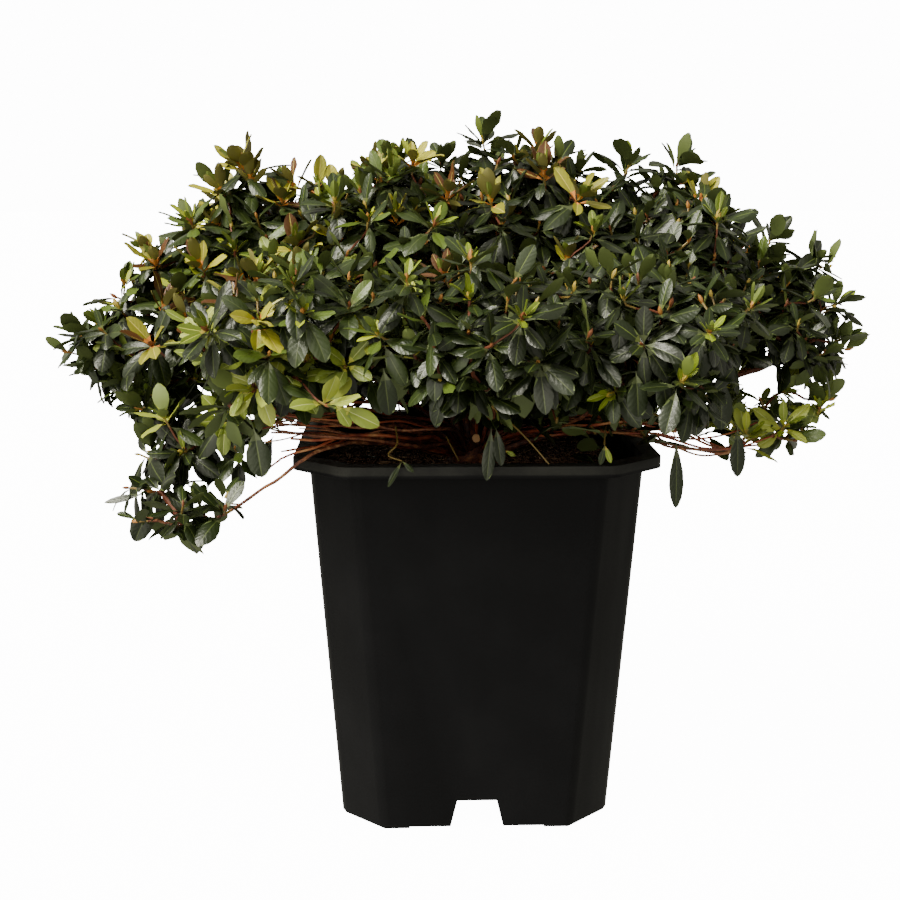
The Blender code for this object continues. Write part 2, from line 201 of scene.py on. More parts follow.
def foot(quarter):
    """The low foot under one corner, cut like the corner above it."""
    half, cut = body_at(FOOT, FOOT_INSET)
    start = BASE_HALF - BASE_CUT - FOOT_ALONG_SIDE
    size = (half - start) / 2
    pad = tapered_box("foot", 0, FOOT + FLOOR / 2, (size, size), (size, size))
    pad.data.transform(Matrix.Translation((start + size, start + size, 0)))
    for point, way in (((half, half - cut, 0), (1, 1, 0)), ((half, start, 0), (-1, -1, 0))):
        pick(pad, lambda v: True)
        bpy.ops.mesh.bisect(
            plane_co=point, plane_no=Vector(way).normalized(), use_fill=True, clear_outer=True
        )
        bpy.ops.object.mode_set(mode="OBJECT")
    pad.data.transform(Matrix.Rotation(math.radians(90 * quarter), 4, "Z"))
    return pad


def round_plug(radius, low, high, x=0.0, y=0.0):
    bpy.ops.object.select_all(action="DESELECT")
    bpy.ops.mesh.primitive_cylinder_add(vertices=48, radius=radius, depth=high - low)
    plug = bpy.context.object
    plug.data.transform(Matrix.Translation((x, y, (low + high) / 2)))
    return plug


def seal(thing):
    """Merges doubles, turns every face outwards and smooths all but the sharp edges."""
    pick(thing, lambda v: True)
    bpy.ops.mesh.remove_doubles(threshold=DOUBLES)
    bpy.ops.mesh.normals_make_consistent(inside=False)
    bpy.ops.object.mode_set(mode="OBJECT")
    bpy.ops.object.shade_smooth_by_angle(angle=SHARP)


flange = POT_HEIGHT - WALL
skirt = POT_HEIGHT - RIM_BAND
rim_size = (RIM_HALF, RIM_CUT)
hollow_size = (RIM_HALF - WALL, RIM_CUT - WALL * CUT_SHRINK)
pot = cut_square("pot_moulding", skirt, POT_HEIGHT, rim_size, rim_size, CORNER_RADIUS)
under_rim = cut_square(
    "under_rim", skirt - WALL, flange, hollow_size, hollow_size, CORNER_RADIUS - WALL
)
combine(pot, under_rim, "DIFFERENCE")
top = POT_HEIGHT - WALL / 2
side = cut_square("side", FOOT, top, body_at(FOOT), body_at(top), CORNER_RADIUS)
combine(pot, side, "UNION")
for quarter in range(4):
    combine(pot, foot(quarter), "UNION")
combine(pot, round_plug(HUB_FOOT_RADIUS, 0, FOOT + FLOOR / 2), "UNION")
inside_low, inside_high = FOOT + FLOOR, POT_HEIGHT + WALL
inside = cut_square(
    "inside",
    inside_low,
    inside_high,
    body_at(inside_low, WALL),
    body_at(inside_high, WALL),
    CORNER_RADIUS - WALL,
)
for quarter in range(4):
    combine(inside, tunnel(quarter, TUNNEL_START - WALL, WALL, 0), "DIFFERENCE")
combine(pot, inside, "DIFFERENCE")
for quarter in range(4):
    combine(pot, tunnel(quarter, TUNNEL_START, 0, -FOOT), "DIFFERENCE")
roof = FOOT + TUNNEL_HEIGHT
for x, y in ((DRAIN_AT, 0), (0, DRAIN_AT), (-DRAIN_AT, 0), (0, -DRAIN_AT)):
    combine(pot, round_plug(DRAIN_RADIUS, roof - WALL, roof + WALL * 2, x, y), "DIFFERENCE")

only(pot)
rounding = pot.modifiers.new("moulded edges", "BEVEL")
rounding.width = MOULD_EDGE
rounding.segments = 3
rounding.limit_method = "ANGLE"
rounding.angle_limit = math.radians(40)
bpy.ops.object.modifier_apply(modifier=rounding.name)
seal(pot)


def linear(hex_colour):
    """The linear colour of an sRGB hex value."""
    parts = [int(hex_colour[k : k + 2], 16) / 255 for k in (1, 3, 5)]
    return [p / 12.92 if p <= 0.04045 else ((p + 0.055) / 1.055) ** 2.4 for p in parts] + [1.0]


def add(material, kind, links=None, colours=(), **settings):
    """Adds one node. Settings name its sockets or its own values, links feed its sockets, by
    name or number, and colours are spread evenly along its run of colour."""
    nodes = material.node_tree.nodes
    node = nodes.new(kind)
    for name, value in settings.items():
        socket = name.replace("_", " ")
        if socket in node.inputs:
            node.inputs[socket].default_value = value
        else:
            setattr(node, name, value)
    for name, output in (links or {}).items():
        material.node_tree.links.new(output, node.inputs[name])
    for _ in colours[2:]:
        node.color_ramp.elements.new(0.5)
    for k, colour in enumerate(colours):
        node.color_ramp.elements[k].position = k / (len(colours) - 1)
        node.color_ramp.elements[k].color = linear(colour)
    return node


def surface(name, **constants):
    """A new material, with the shader's own sockets set."""
    material = bpy.data.materials.new(name)
    material.use_nodes = True
    shader = material.node_tree.nodes["Principled BSDF"]
    for socket, value in constants.items():
        shader.inputs[socket.replace("_", " ")].default_value = value
    return material, shader


# Black polypropylene, moulded against an etched tool: a fine leathery texture that spreads
# the light, faint flow marks that run up the walls, a little dried silt, and a rim painted
# paler, partly rubbing by hands and partly a painted highlight for the light its top catches.
polypropylene, shader = surface("black_polypropylene", IOR=1.49, Specular_IOR_Level=0.06)
links = polypropylene.node_tree.links
places = add(polypropylene, "ShaderNodeTexCoord").outputs["Object"]
flow_places = add(polypropylene, "ShaderNodeMapping", {"Vector": places}, Scale=(90, 90, 6))
flow = add(
    polypropylene, "ShaderNodeTexNoise", {"Vector": flow_places.outputs["Vector"]}, Scale=1.0, Detail=3.0
)
silt = add(polypropylene, "ShaderNodeTexNoise", {"Vector": places}, Scale=28.0, Detail=6.0)
etch = add(polypropylene, "ShaderNodeTexNoise", {"Vector": places}, Scale=1400.0, Detail=2.0)
heights = add(polypropylene, "ShaderNodeSeparateXYZ", {"Vector": places}).outputs["Z"]
# Painted highlight: the rim band above the skirt is painted paler, for the light its rounded top catches as
# well as for rubbing
rim_wear_and_highlight = add(
    polypropylene,
    "ShaderNodeMapRange",
    {"Value": heights},
    From_Min=skirt + RIM_HIGHLIGHT_START,
    From_Max=skirt + RIM_HIGHLIGHT_END,
    To_Max=RIM_WEAR_AND_HIGHLIGHT,
)
silt_and_rim_parts = {0: silt.outputs["Fac"], 1: rim_wear_and_highlight.outputs["Result"]}
silt_wear_and_highlight = add(polypropylene, "ShaderNodeMath", silt_and_rim_parts, operation="ADD").outputs["Value"]
spread = add(polypropylene, "ShaderNodeMapRange", {"Value": silt_wear_and_highlight}, From_Min=0.45, From_Max=1.3)
greys_and_rim_highlight = ("#0e0e10", "#111113", "#282827", "#383836")
tint = add(polypropylene, "ShaderNodeValToRGB", {"Fac": spread.outputs["Result"]}, greys_and_rim_highlight)
links.new(tint.outputs["Color"], shader.inputs["Base Color"])
gloss = add(
    polypropylene,
    "ShaderNodeMapRange",
    {"Value": flow.outputs["Fac"]},
    From_Min=0.3,
    From_Max=0.7,
    To_Min=0.40,
    To_Max=0.52,
)
links.new(gloss.outputs["Result"], shader.inputs["Roughness"])
skin = add(
    polypropylene, "ShaderNodeBump", {"Height": etch.outputs["Fac"]}, Strength=0.12, Distance=0.0002
)
links.new(skin.outputs["Normal"], shader.inputs["Normal"])
pot.data.materials.clear()
pot.data.materials.append(polypropylene)
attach(pot, "root")
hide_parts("pot")


# Compost: damp peat and bark fines, packed into the pot to just below the rim. Its top is
# rough, and loose crumbs, bark chips and dropped leaves lie on it.

SOIL_LOW, SOIL_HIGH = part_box("soil")
SOIL_TOP = SOIL_HIGH.z
SOIL_GAP = 0.0003
CRUST = 0.012
CRUST_VOXEL = 0.0013
CRUST_RELIEF = 0.0022
CRUMBS = 900
CRUMB_SIZES = (0.0007, 0.0024)
CHIPS = 130
CHIP_SIZES = (0.0012, 0.003)
CHIP_LENGTH = 2.6
CHIP_THICKNESS = 0.28
CHIP_TILT = 0.35
WALL_CLEARANCE = 0.004
SMOOTHED_UP_TO = math.radians(50)
GROWTH_SEED = 11
NOISE_SEED = 2


def voxel_remesh(thing, size):
    """Makes one even, closed skin out of everything in the object."""
    only(thing)
    voxels = thing.modifiers.new("voxels", "REMESH")
    voxels.mode = "VOXEL"
    voxels.voxel_size = size
    bpy.ops.object.modifier_apply(modifier=voxels.name)


soil_inset = WALL + SOIL_GAP
crust_low = SOIL_TOP - CRUST
compost = cut_square(
    "compost",
    crust_low,
    SOIL_TOP - CRUST_RELIEF / 2,
    body_at(crust_low, soil_inset),
    body_at(SOIL_TOP, soil_inset + SOIL_GAP),
    CORNER_RADIUS - WALL,
)
voxel_remesh(compost, CRUST_VOXEL)
upward = [vertex.index for vertex in compost.data.vertices if vertex.normal.z > 0.6]
for k in upward:
    place = compost.data.vertices[k].co
    lumps = noise.noise(place * 55) + noise.noise(place * 170) * 0.7
    place.z += CRUST_RELIEF * (lumps * 0.5 + noise.noise(place * 520) * 0.35)
fill_low = SOIL_LOW.z
fill = cut_square(
    "fill",
    fill_low,
    crust_low + SOIL_GAP,
    body_at(fill_low, soil_inset),
    body_at(crust_low, soil_inset),
    CORNER_RADIUS - WALL,
)
for quarter in range(4):
    start = TUNNEL_START - WALL - SOIL_GAP
    combine(fill, tunnel(quarter, start, WALL + SOIL_GAP, 0), "DIFFERENCE")
only(compost)
fill.select_set(True)
bpy.ops.object.join()
seal(compost)

# Damp peat: red-brown, flecked with the paler tan of bark fibres, and matt but for a glint
peat, shader = surface("wet_peat", IOR=1.4)
links = peat.node_tree.links
places = add(peat, "ShaderNodeTexCoord").outputs["Object"]
grain = add(peat, "ShaderNodeTexNoise", {"Vector": places}, Scale=420.0, Detail=6.0, Roughness=0.7)
spread = add(peat, "ShaderNodeMapRange", {"Value": grain.outputs["Fac"]}, From_Min=0.32, From_Max=0.7)
browns = ("#36221a", "#5e4030", "#a88468")
tint = add(peat, "ShaderNodeValToRGB", {"Fac": spread.outputs["Result"]}, browns)
links.new(tint.outputs["Color"], shader.inputs["Base Color"])
damp = add(peat, "ShaderNodeMapRange", {"Value": grain.outputs["Fac"]}, To_Min=0.7, To_Max=0.95)
links.new(damp.outputs["Result"], shader.inputs["Roughness"])
rough = add(peat, "ShaderNodeBump", {"Height": grain.outputs["Fac"]}, Strength=0.8, Distance=0.0008)
links.new(rough.outputs["Normal"], shader.inputs["Normal"])
compost.data.materials.clear()
compost.data.materials.append(peat)
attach(compost, "root")
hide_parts("soil")


def joined_mesh(name, corners, faces, slots, materials, chart=None):
    """One object from an array of corners and a list of face arrays, each of one side count.

    A chart is a place on the piece's own flat map for each corner."""
    mesh = bpy.data.meshes.new(name)
    mesh.vertices.add(len(corners))
    mesh.vertices.foreach_set("co", np.asarray(corners, np.float32).ravel())
    sides = np.concatenate([np.full(len(group), group.shape[1]) for group in faces])
    loops = np.concatenate([group.ravel() for group in faces])
    mesh.loops.add(len(loops))
    mesh.loops.foreach_set("vertex_index", loops.astype(np.int32))
    mesh.polygons.add(len(sides))
    starts = np.concatenate([[0], np.cumsum(sides)[:-1]])
    mesh.polygons.foreach_set("loop_start", starts.astype(np.int32))
    mesh.polygons.foreach_set("material_index", np.concatenate(slots).astype(np.int32))
    for material in materials:
        mesh.materials.append(material)
    mesh.update(calc_edges=True)
    if chart is not None:
        flat = mesh.uv_layers.new(name="chart")
        flat.data.foreach_set("uv", chart[loops].astype(np.float32).ravel())
    mesh.validate()
    made = bpy.data.objects.new(name, mesh)
    bpy.context.scene.collection.objects.link(made)
    only(made)
    bpy.ops.object.shade_smooth_by_angle(angle=SMOOTHED_UP_TO)
    return made


def scattered(shape, places, turns, sizes):
    """Copies of one small mesh: the corners of every copy, and its faces."""
    base = np.array([v.co for v in shape.data.vertices])
    faces = np.array([list(p.vertices) for p in shape.data.polygons])
    corners = []
    for place, turn, size in zip(places, turns, sizes):
        matrix = np.array(turn.to_matrix())
        corners.append((base * size) @ matrix.T + place)
    shifts = np.arange(len(places)) * len(base)
    spread = (faces[None] + shifts[:, None, None]).reshape(-1, faces.shape[1])
    return np.concatenate(corners), spread


chance = np.random.default_rng(GROWTH_SEED)
noise.seed_set(NOISE_SEED)


def any_turn():
    return Quaternion(chance.normal(size=4)).normalized()


def flat_turn():
    """A turn to any heading with a slight tilt, for a chip that lies down."""
    heading = Matrix.Rotation(chance.uniform(0, math.tau), 3, "Z")
    tilt = Matrix.Rotation(chance.normal() * CHIP_TILT, 3, "X")
    return (heading @ tilt).to_quaternion()


bpy.ops.object.select_all(action="DESELECT")
bpy.ops.mesh.primitive_ico_sphere_add(subdivisions=1, radius=1.0)
crumb = bpy.context.object
for vertex in crumb.data.vertices:
    vertex.co *= 0.8 + 0.5 * noise.noise(vertex.co * 2.1)
bpy.ops.object.select_all(action="DESELECT")
bpy.ops.mesh.primitive_ico_sphere_add(subdivisions=1, radius=1.0)
chip = bpy.context.object
for vertex in chip.data.vertices:
    vertex.co.x *= CHIP_LENGTH
    vertex.co.z *= CHIP_THICKNESS
    vertex.co += Vector((0, 0, 0.25 * noise.noise(vertex.co * 1.3)))


def on_compost(count):
    """Places on the compost, clear of the pot's wall."""
    half = body_at(SOIL_TOP, WALL)[0] - WALL_CLEARANCE
    spots = []
    while len(spots) < count:
        x, y = chance.uniform(-half, half, 2)
        if abs(x) + abs(y) < 2 * half - BODY_TOP_CUT:
            spots.append((x, y, SOIL_TOP - CRUST_RELIEF * 0.3))
    return np.array(spots)


crumb_corners, crumb_faces = scattered(
    crumb, on_compost(CRUMBS), [any_turn() for _ in range(CRUMBS)], chance.uniform(*CRUMB_SIZES, CRUMBS)
)
flat_turns = [flat_turn() for _ in range(CHIPS)]
chip_corners, chip_faces = scattered(
    chip, on_compost(CHIPS), flat_turns, chance.uniform(*CHIP_SIZES, CHIPS)
)
for shape in (crumb, chip):
    bpy.data.objects.remove(shape, do_unlink=True)

# Pine bark chips, dry and pale, and dull crumbs of the peat
bark_fines, _ = surface("bark_fines", Roughness=0.85, Base_Color=linear("#8a6a50"))
peat_crumbs, _ = surface("peat_crumbs", Roughness=0.95, Base_Color=linear("#4a3222"))
litter = joined_mesh(
    "bark_chips",
    np.concatenate([crumb_corners, chip_corners]),
    [crumb_faces, chip_faces + len(crumb_corners)],
    [np.ones(len(crumb_faces)), np.zeros(len(chip_faces))],
    [bark_fines, peat_crumbs],
)
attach(litter, "root")


# Stems and boughs: the shrub forks at once into thin, low, spreading limbs with wiry stems
# between them, some bare for 10 cm. Their bark is thin, red-brown and finely ridged, and they
# grow as one piece with the short flared stem, beside the stump of a sawn limb.

STEM_FOOT = np.array((0.0, 0.0, SOIL_TOP - 0.002))
STEM_HEIGHT = 0.0125
STEM_RADII = (0.0150, 0.0118, 0.0095, 0.0078)
STUMP_FOOT = (-0.004, 0.004, SOIL_TOP + 0.002)
STUMP_HEAD = (0.0010, -0.026, 0.2040)
STUMP_RADIUS = 0.0024
BOUGH_RADII = (0.0030, 0.0018, 0.0010)
DROOPING_RADII = (0.0019, 0.0015, 0.0010)
SIDE_STEM_RADII = (0.0012, 0.0009, 0.0005)
SIDE_STEM_SPREAD = 0.042
RING_STEP = 0.0016
BARK_SIDES = 12
RIDGE = 0.00020
KNOT = 0.0006
WANDER = 0.0040
# Painted shade on the bark: darkest near the shrub's foot, under the crown, and fading out between these
# reaches
PAINTED_SHADE_REACH = 0.040
UNSHADED_REACH = 0.090
RING_GAP = 0.004
RIM_ZONE_INSIDE = 0.01
RIM_ZONE_OUTSIDE = 0.005
RIM_CLEARANCE = 0.003
UP = np.array((0.0, 0.0, 1.0))
# The arm that hangs over the rim's left corner
DROOPING_ARM = (
    (-0.03, -0.03, 0.2035),
    (-0.056, -0.06, 0.208),
    (-0.078, -0.085, 0.2095),
    (-0.088, -0.094, 0.2035),
    (-0.1015, -0.09, 0.1935),
    (-0.1126, -0.085, 0.1879),
    (-0.14, -0.084, 0.171),
    (-0.156, -0.085, 0.172),
    (-0.168, -0.086, 0.176),
)
# Bare stems that spread low over the compost and the rim, most of them at the front on the left
LOW_STEMS = (
    ((-0.05, -0.056, 0.2085), (-0.08, -0.085, 0.2115), (-0.096, -0.088, 0.2065),
     (-0.108, -0.083, 0.1975)),
    ((-0.02, -0.034, 0.205), (-0.042, -0.066, 0.215), (-0.062, -0.078, 0.2165), (-0.09, -0.086, 0.22)),
    ((-0.018, -0.036, 0.2035), (-0.04, -0.068, 0.212), (-0.064, -0.08, 0.214), (-0.094, -0.088, 0.215)),
    ((-0.022, -0.03, 0.203), (-0.044, -0.064, 0.2165), (-0.066, -0.076, 0.219),
     (-0.098, -0.084, 0.226)),
    ((-0.024, -0.018, 0.202), (-0.056, -0.04, 0.216), (-0.088, -0.058, 0.22), (-0.12, -0.066, 0.214)),
    ((-0.024, -0.01, 0.206), (-0.058, -0.028, 0.218), (-0.09, -0.044, 0.22), (-0.124, -0.052, 0.218)),
    ((-0.02, -0.024, 0.2), (-0.05, -0.05, 0.21), (-0.08, -0.07, 0.215), (-0.108, -0.08, 0.212)),
    ((-0.01, -0.04, 0.21), (-0.0224, -0.066, 0.2158), (-0.0418, -0.074, 0.2175), (-0.07, -0.08, 0.224)),
    ((-0.022, -0.03, 0.22), (-0.0456, -0.05, 0.227), (-0.078, -0.066, 0.23), (-0.11, -0.074, 0.24)),
    ((-0.02, -0.02, 0.199), (-0.045, -0.052, 0.2125), (-0.072, -0.074, 0.2165),
     (-0.105, -0.086, 0.223)),
    ((-0.018, -0.026, 0.204), (-0.043, -0.056, 0.216), (-0.074, -0.078, 0.219),
     (-0.108, -0.088, 0.228)),
    ((-0.016, -0.02, 0.196), (-0.04, -0.05, 0.208), (-0.07, -0.07, 0.213), (-0.104, -0.084, 0.2175)),
    ((-0.02, -0.016, 0.208), (-0.05, -0.046, 0.2215), (-0.08, -0.07, 0.2235), (-0.112, -0.084, 0.232)),
    ((-0.014, -0.03, 0.2), (-0.036, -0.064, 0.2085), (-0.066, -0.084, 0.2125), (-0.098, -0.094, 0.22)),
    ((-0.012, -0.024, 0.206), (-0.03, -0.06, 0.2185), (-0.06, -0.082, 0.2225), (-0.096, -0.096, 0.228)),
    ((-0.022, -0.012, 0.202), (-0.052, -0.038, 0.215), (-0.086, -0.058, 0.22), (-0.124, -0.066, 0.218)),
    ((-0.02, -0.02, 0.196), (-0.048, -0.04, 0.206), (-0.078, -0.058, 0.209), (-0.1, -0.074, 0.206)),
    ((0.02, -0.012, 0.2), (0.052, -0.03, 0.212), (0.086, -0.046, 0.208), (0.112, -0.05, 0.201),
     (0.15, -0.046, 0.203)),
    ((0.02, -0.016, 0.204), (0.056, -0.036, 0.216), (0.092, -0.05, 0.211), (0.126, -0.052, 0.201),
     (0.158, -0.046, 0.208)),
    ((0.018, -0.01, 0.198), (0.048, -0.024, 0.209), (0.088, -0.038, 0.206),
     (0.12, -0.046, 0.1985), (0.144, -0.046, 0.199)),
    ((0.016, -0.022, 0.202), (0.044, -0.052, 0.216), (0.074, -0.072, 0.22), (0.1, -0.08, 0.216)),
    ((0.022, -0.02, 0.206), (0.062, -0.04, 0.216), (0.096, -0.05, 0.2145), (0.126, -0.05, 0.203),
     (0.152, -0.046, 0.2125)),
    ((0.022, -0.018, 0.208), (0.066, -0.038, 0.218), (0.106, -0.048, 0.212),
     (0.134, -0.048, 0.204), (0.158, -0.044, 0.214)),
    ((0.02, -0.014, 0.206), (0.06, -0.034, 0.214), (0.1, -0.044, 0.207), (0.13, -0.046, 0.2),
     (0.152, -0.044, 0.208)),
    ((0.022, -0.022, 0.204), (0.064, -0.044, 0.212), (0.092, -0.054, 0.211),
     (0.122, -0.052, 0.2065), (0.15, -0.044, 0.215)),
)


def unit(vector):
    return vector / np.linalg.norm(vector)


def smooth_path(points, step):
    """A rounded line through the points, as evenly spaced points."""
    points = [np.array(p, float) for p in points]
    held = [2 * points[0] - points[1]] + points + [2 * points[-1] - points[-2]]
    fine = []
    for a, b, c, d in zip(held, held[1:], held[2:], held[3:]):
        for t in np.linspace(0, 1, 12, endpoint=False):
            slope, sag, swing = c - a, 2 * a - 5 * b + 4 * c - d, 3 * b - a - 3 * c + d
            fine.append(b + 0.5 * (slope * t + sag * t**2 + swing * t**3))
    fine = np.array(fine + [points[-1]])
    run = np.concatenate([[0], np.cumsum(np.linalg.norm(np.diff(fine, axis=0), axis=1))])
    spots = np.linspace(0, run[-1], max(3, int(run[-1] / step) + 1))
    return np.column_stack([np.interp(spots, run, fine[:, k]) for k in range(3)])


def tube(points, radii, sides):
    """Corners and quads of a round limb along points."""
    ahead = np.gradient(points, axis=0)
    ahead /= np.linalg.norm(ahead, axis=1)[:, None]
    across = np.cross(ahead[0], (0.13, 0.31, 0.94))
    angles = np.arange(sides) * math.tau / sides
    corners = []
    for point, way, radius in zip(points, ahead, radii):
        across = unit(across - way * across.dot(way))
        other = np.cross(way, across)
        ring = np.cos(angles)[:, None] * across + np.sin(angles)[:, None] * other
        corners.append(point + ring * radius)
    side = np.arange(sides)
    after = (side + 1) % sides
    rows = np.arange(len(points) - 1)[:, None] * sides
    quads = np.stack([rows + side, rows + after, rows + sides + after, rows + sides + side], -1)
    return np.concatenate(corners), quads.reshape(-1, 4)


class Bundle:
    """Limbs gathered into one mesh, each with a flat cap at both ends."""

    def __init__(self, sides):
        self.sides, self.count = sides, 0
        self.corners, self.quads, self.quad_slots, self.caps, self.cap_slots = [], [], [], [], []

    def add(self, points, radii, slots=0, bark=0.0):
        points = np.asarray(points, float)
        corners, quads = tube(points, radii, self.sides)
        if bark:
            outward = corners - np.repeat(points, self.sides, axis=0)
            outward /= np.linalg.norm(outward, axis=1)[:, None]
            corners = corners + outward * bark_relief(corners)[:, None] * bark
        slots = np.broadcast_to(slots, len(points) - 1)
        self.corners.append(corners)
        self.quads.append(quads + self.count)
        self.quad_slots.append(np.repeat(slots, self.sides))
        side = np.arange(self.sides)
        self.caps += [side[::-1] + self.count, side + self.count + len(corners) - self.sides]
        self.cap_slots += [slots[0], slots[-1]]
        self.count += len(corners)

    def make(self, name, materials):
        return joined_mesh(
            name,
            np.concatenate(self.corners),
            [np.concatenate(self.quads), np.array(self.caps)],
            [np.concatenate(self.quad_slots), np.array(self.cap_slots)],
            materials,
        )


def bark_relief(corners):
    """How far ridges and knots push each corner out."""
    relief = []
    for corner in corners:
        place = Vector(corner)
        knot = max(0.0, noise.noise(place * 95) - 0.25)
        relief.append(noise.noise(place * 420) * RIDGE + knot * KNOT)
    return np.array(relief)


def ring_middles(node):
    """The middles of a CAD limb's rings, from the shrub's foot outwards."""
    corners = np.array([v.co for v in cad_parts[node].data.vertices])
    far = np.linalg.norm(corners - STEM_FOOT, axis=1)
    order = np.argsort(far)
    gaps = np.where(np.diff(far[order]) > RING_GAP)[0] + 1
    return [corners[group].mean(axis=0) for group in np.split(order, gaps)]


def over_rim(path):
    """Lifts a path clear of the pot's rim where it crosses it."""
    reach = np.abs(path[:, :2]).max(axis=1)
    near = (reach > BODY_TOP_HALF - RIM_ZONE_INSIDE) & (reach < RIM_HALF + RIM_ZONE_OUTSIDE)
    path[near, 2] = np.maximum(path[near, 2], POT_HEIGHT + RIM_CLEARANCE)
    return path


boughs = sorted(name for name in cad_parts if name.startswith("bough_"))
limbs = []
for name in boughs:
    if name in ("bough_over_rim", "bough_droop_left"):
        continue
    middles = ring_middles(name)
    first = middles[0]
    level = np.array((first[0], first[1], 0))
    start = STEM_FOOT + level * 0.15 + UP * 0.004
    knee = STEM_FOOT + level * 0.55 + UP * (first[2] - STEM_FOOT[2]) * 0.72
    bough = smooth_path([start, knee] + middles, RING_STEP)
    limbs.append((bough, BOUGH_RADII))
    stem = bough[: int(len(bough) * chance.uniform(0.6, 0.98))].copy()
    t = np.linspace(0, 1, len(stem))[:, None]
    across = unit(np.cross(stem[-1] - stem[0], UP))
    shift = across * chance.uniform(-1, 1) * SIDE_STEM_SPREAD + UP * chance.uniform(-0.006, 0.012)
    limbs.append((over_rim(stem + shift * t**0.6), SIDE_STEM_RADII))

limbs.append((smooth_path([STEM_FOOT + UP * 0.006, *DROOPING_ARM], RING_STEP), DROOPING_RADII))
for points in LOW_STEMS:
    limbs.append((over_rim(smooth_path([STEM_FOOT + UP * 0.004, *points], RING_STEP)), SIDE_STEM_RADII))

stems = Bundle(BARK_SIDES)
for seed, (path, radii) in enumerate(limbs):
    t = np.linspace(0, 1, len(path))
    sway = np.array([noise.noise_vector(Vector(p) * 34 + Vector((seed, 0, 0))) for p in path])
    path += sway * WANDER * np.minimum(1, np.minimum(t, 1 - t) * 6)[:, None]
    thickness = np.interp(t, (0, 0.25, 1), radii) * chance.uniform(0.7, 1.25)
    stems.add(path, thickness, 2 * (seed % 2), bark=1.0 if radii is BOUGH_RADII else 0.4)
t = np.linspace(0, 1, 8)
foot_radii = np.interp(t, np.linspace(0, 1, len(STEM_RADII)), STEM_RADII)
stems.add(STEM_FOOT + UP * STEM_HEIGHT * t[:, None], foot_radii, bark=3.0)
stems.add(np.linspace(STUMP_FOOT, STUMP_HEAD, 9), np.full(9, STUMP_RADIUS), bark=3.5)
stems.cap_slots[-1] = 1


def bark_with_painted_shade(material, shader, speckle, palest, colours):
    """Colours bark by its speckle, with painted shade that darkens it towards the shrub's foot, under the
    crown.
    """
    places = add(material, "ShaderNodeTexCoord").outputs["Object"]
    level = add(material, "ShaderNodeMapping", {"Vector": places}, Scale=(1, 1, 0))
    reach = add(
        material, "ShaderNodeVectorMath", {"Vector": level.outputs["Vector"]}, operation="LENGTH"
    )
    # Painted shade: the bark darkens towards the shrub's foot, where the crown shades it
    shade = add(
        material,
        "ShaderNodeMapRange",
        {"Value": reach.outputs["Value"]},
        From_Min=PAINTED_SHADE_REACH,
        From_Max=UNSHADED_REACH,
        To_Min=-0.12,
        To_Max=0.0,
    )
    parts = {0: speckle.outputs["Fac"], 1: shade.outputs["Result"]}
    total = add(material, "ShaderNodeMath", parts, operation="ADD").outputs["Value"]
    spread = add(material, "ShaderNodeMapRange", {"Value": total}, From_Min=0.25, From_Max=palest)
    tint = add(material, "ShaderNodeValToRGB", {"Fac": spread.outputs["Result"]}, colours)
    material.node_tree.links.new(tint.outputs["Color"], shader.inputs["Base Color"])


# Azalea bark: thin and papery, dark red-brown with pale tan flecks and fine cracks, with painted shade
# towards the shrub's foot
azalea_bark, shader = surface("azalea_bark", IOR=1.45)
links = azalea_bark.node_tree.links
places = add(azalea_bark, "ShaderNodeTexCoord").outputs["Object"]
fleck = add(azalea_bark, "ShaderNodeTexNoise", {"Vector": places}, Scale=240.0, Detail=6.0, Roughness=0.65)
bark_with_painted_shade(azalea_bark, shader, fleck, 0.72, ("#2c150c", "#4a2216", "#7c4a2e", "#a8875e"))
dull = add(azalea_bark, "ShaderNodeMapRange", {"Value": fleck.outputs["Fac"]}, To_Min=0.45, To_Max=0.75)
links.new(dull.outputs["Result"], shader.inputs["Roughness"])
crack = add(azalea_bark, "ShaderNodeTexNoise", {"Vector": places}, Scale=900.0, Detail=3.0)
raised = add(azalea_bark, "ShaderNodeBump", {"Height": crack.outputs["Fac"]}, Strength=0.5, Distance=0.0004)
links.new(raised.outputs["Normal"], shader.inputs["Normal"])
# The sawn face of the stump: dry, pale wood
sawn_wood, _ = surface("sawn_wood", Roughness=0.8, Base_Color=linear("#c89a6c"))
# The smooth bark of younger stems: foxy red, not yet cracked, with painted shade towards the shrub's foot
young_bark, shader = surface("young_bark", IOR=1.45, Roughness=0.5)
places = add(young_bark, "ShaderNodeTexCoord").outputs["Object"]
blush = add(young_bark, "ShaderNodeTexNoise", {"Vector": places}, Scale=60.0, Detail=4.0)
bark_with_painted_shade(young_bark, shader, blush, 0.65, ("#34150c", "#5a2416", "#863c24", "#a8764a"))
stem_piece = stems.make("stems_and_boughs", [azalea_bark, sawn_wood, young_bark])
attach(stem_piece, "root")
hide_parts("stems", *boughs)


# Crown: where the shoots end. Every mass of foliage is replaced by shoots whose tips lie just
# under its skin, closest where the light reaches them, and each ends in a whorl of leaves.

CROWN_VOXEL = 0.004
GROOVES_CLOSED = 0.018
LOOSE_MASSES = ("leaves_low_left", "leaves_droop_left", "leaves_low_right")
SKIN_DEPTH = 0.0135
SHOOT_SPACING = 0.0132
INNER_DEPTH = 0.027
INNER_SPACING = 0.0150
LEADER_DEPTH = 0.0120
COMPANIONS = 2
COMPANION_SPREAD = 0.010
TUFT_DEPTH = 0.0050
TUFT_ROOM = 0.0190
LOW_SHOOTS = 90
LOW_REACH = (0.030, 0.115)
LOW_HEIGHTS = (0.212, 0.236)
MOST_SHOOTS = 2000

masses = sorted(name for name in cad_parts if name.startswith("leaves_"))


def joined_copy(names):
    """One object made of copies of CAD nodes."""
    copies = []
    for name in names:
        only(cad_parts[name])
        bpy.ops.object.duplicate()
        copies.append(bpy.context.object)
    only(copies[0])
    for copy in copies:
        copy.select_set(True)
    bpy.ops.object.join()
    return bpy.context.object


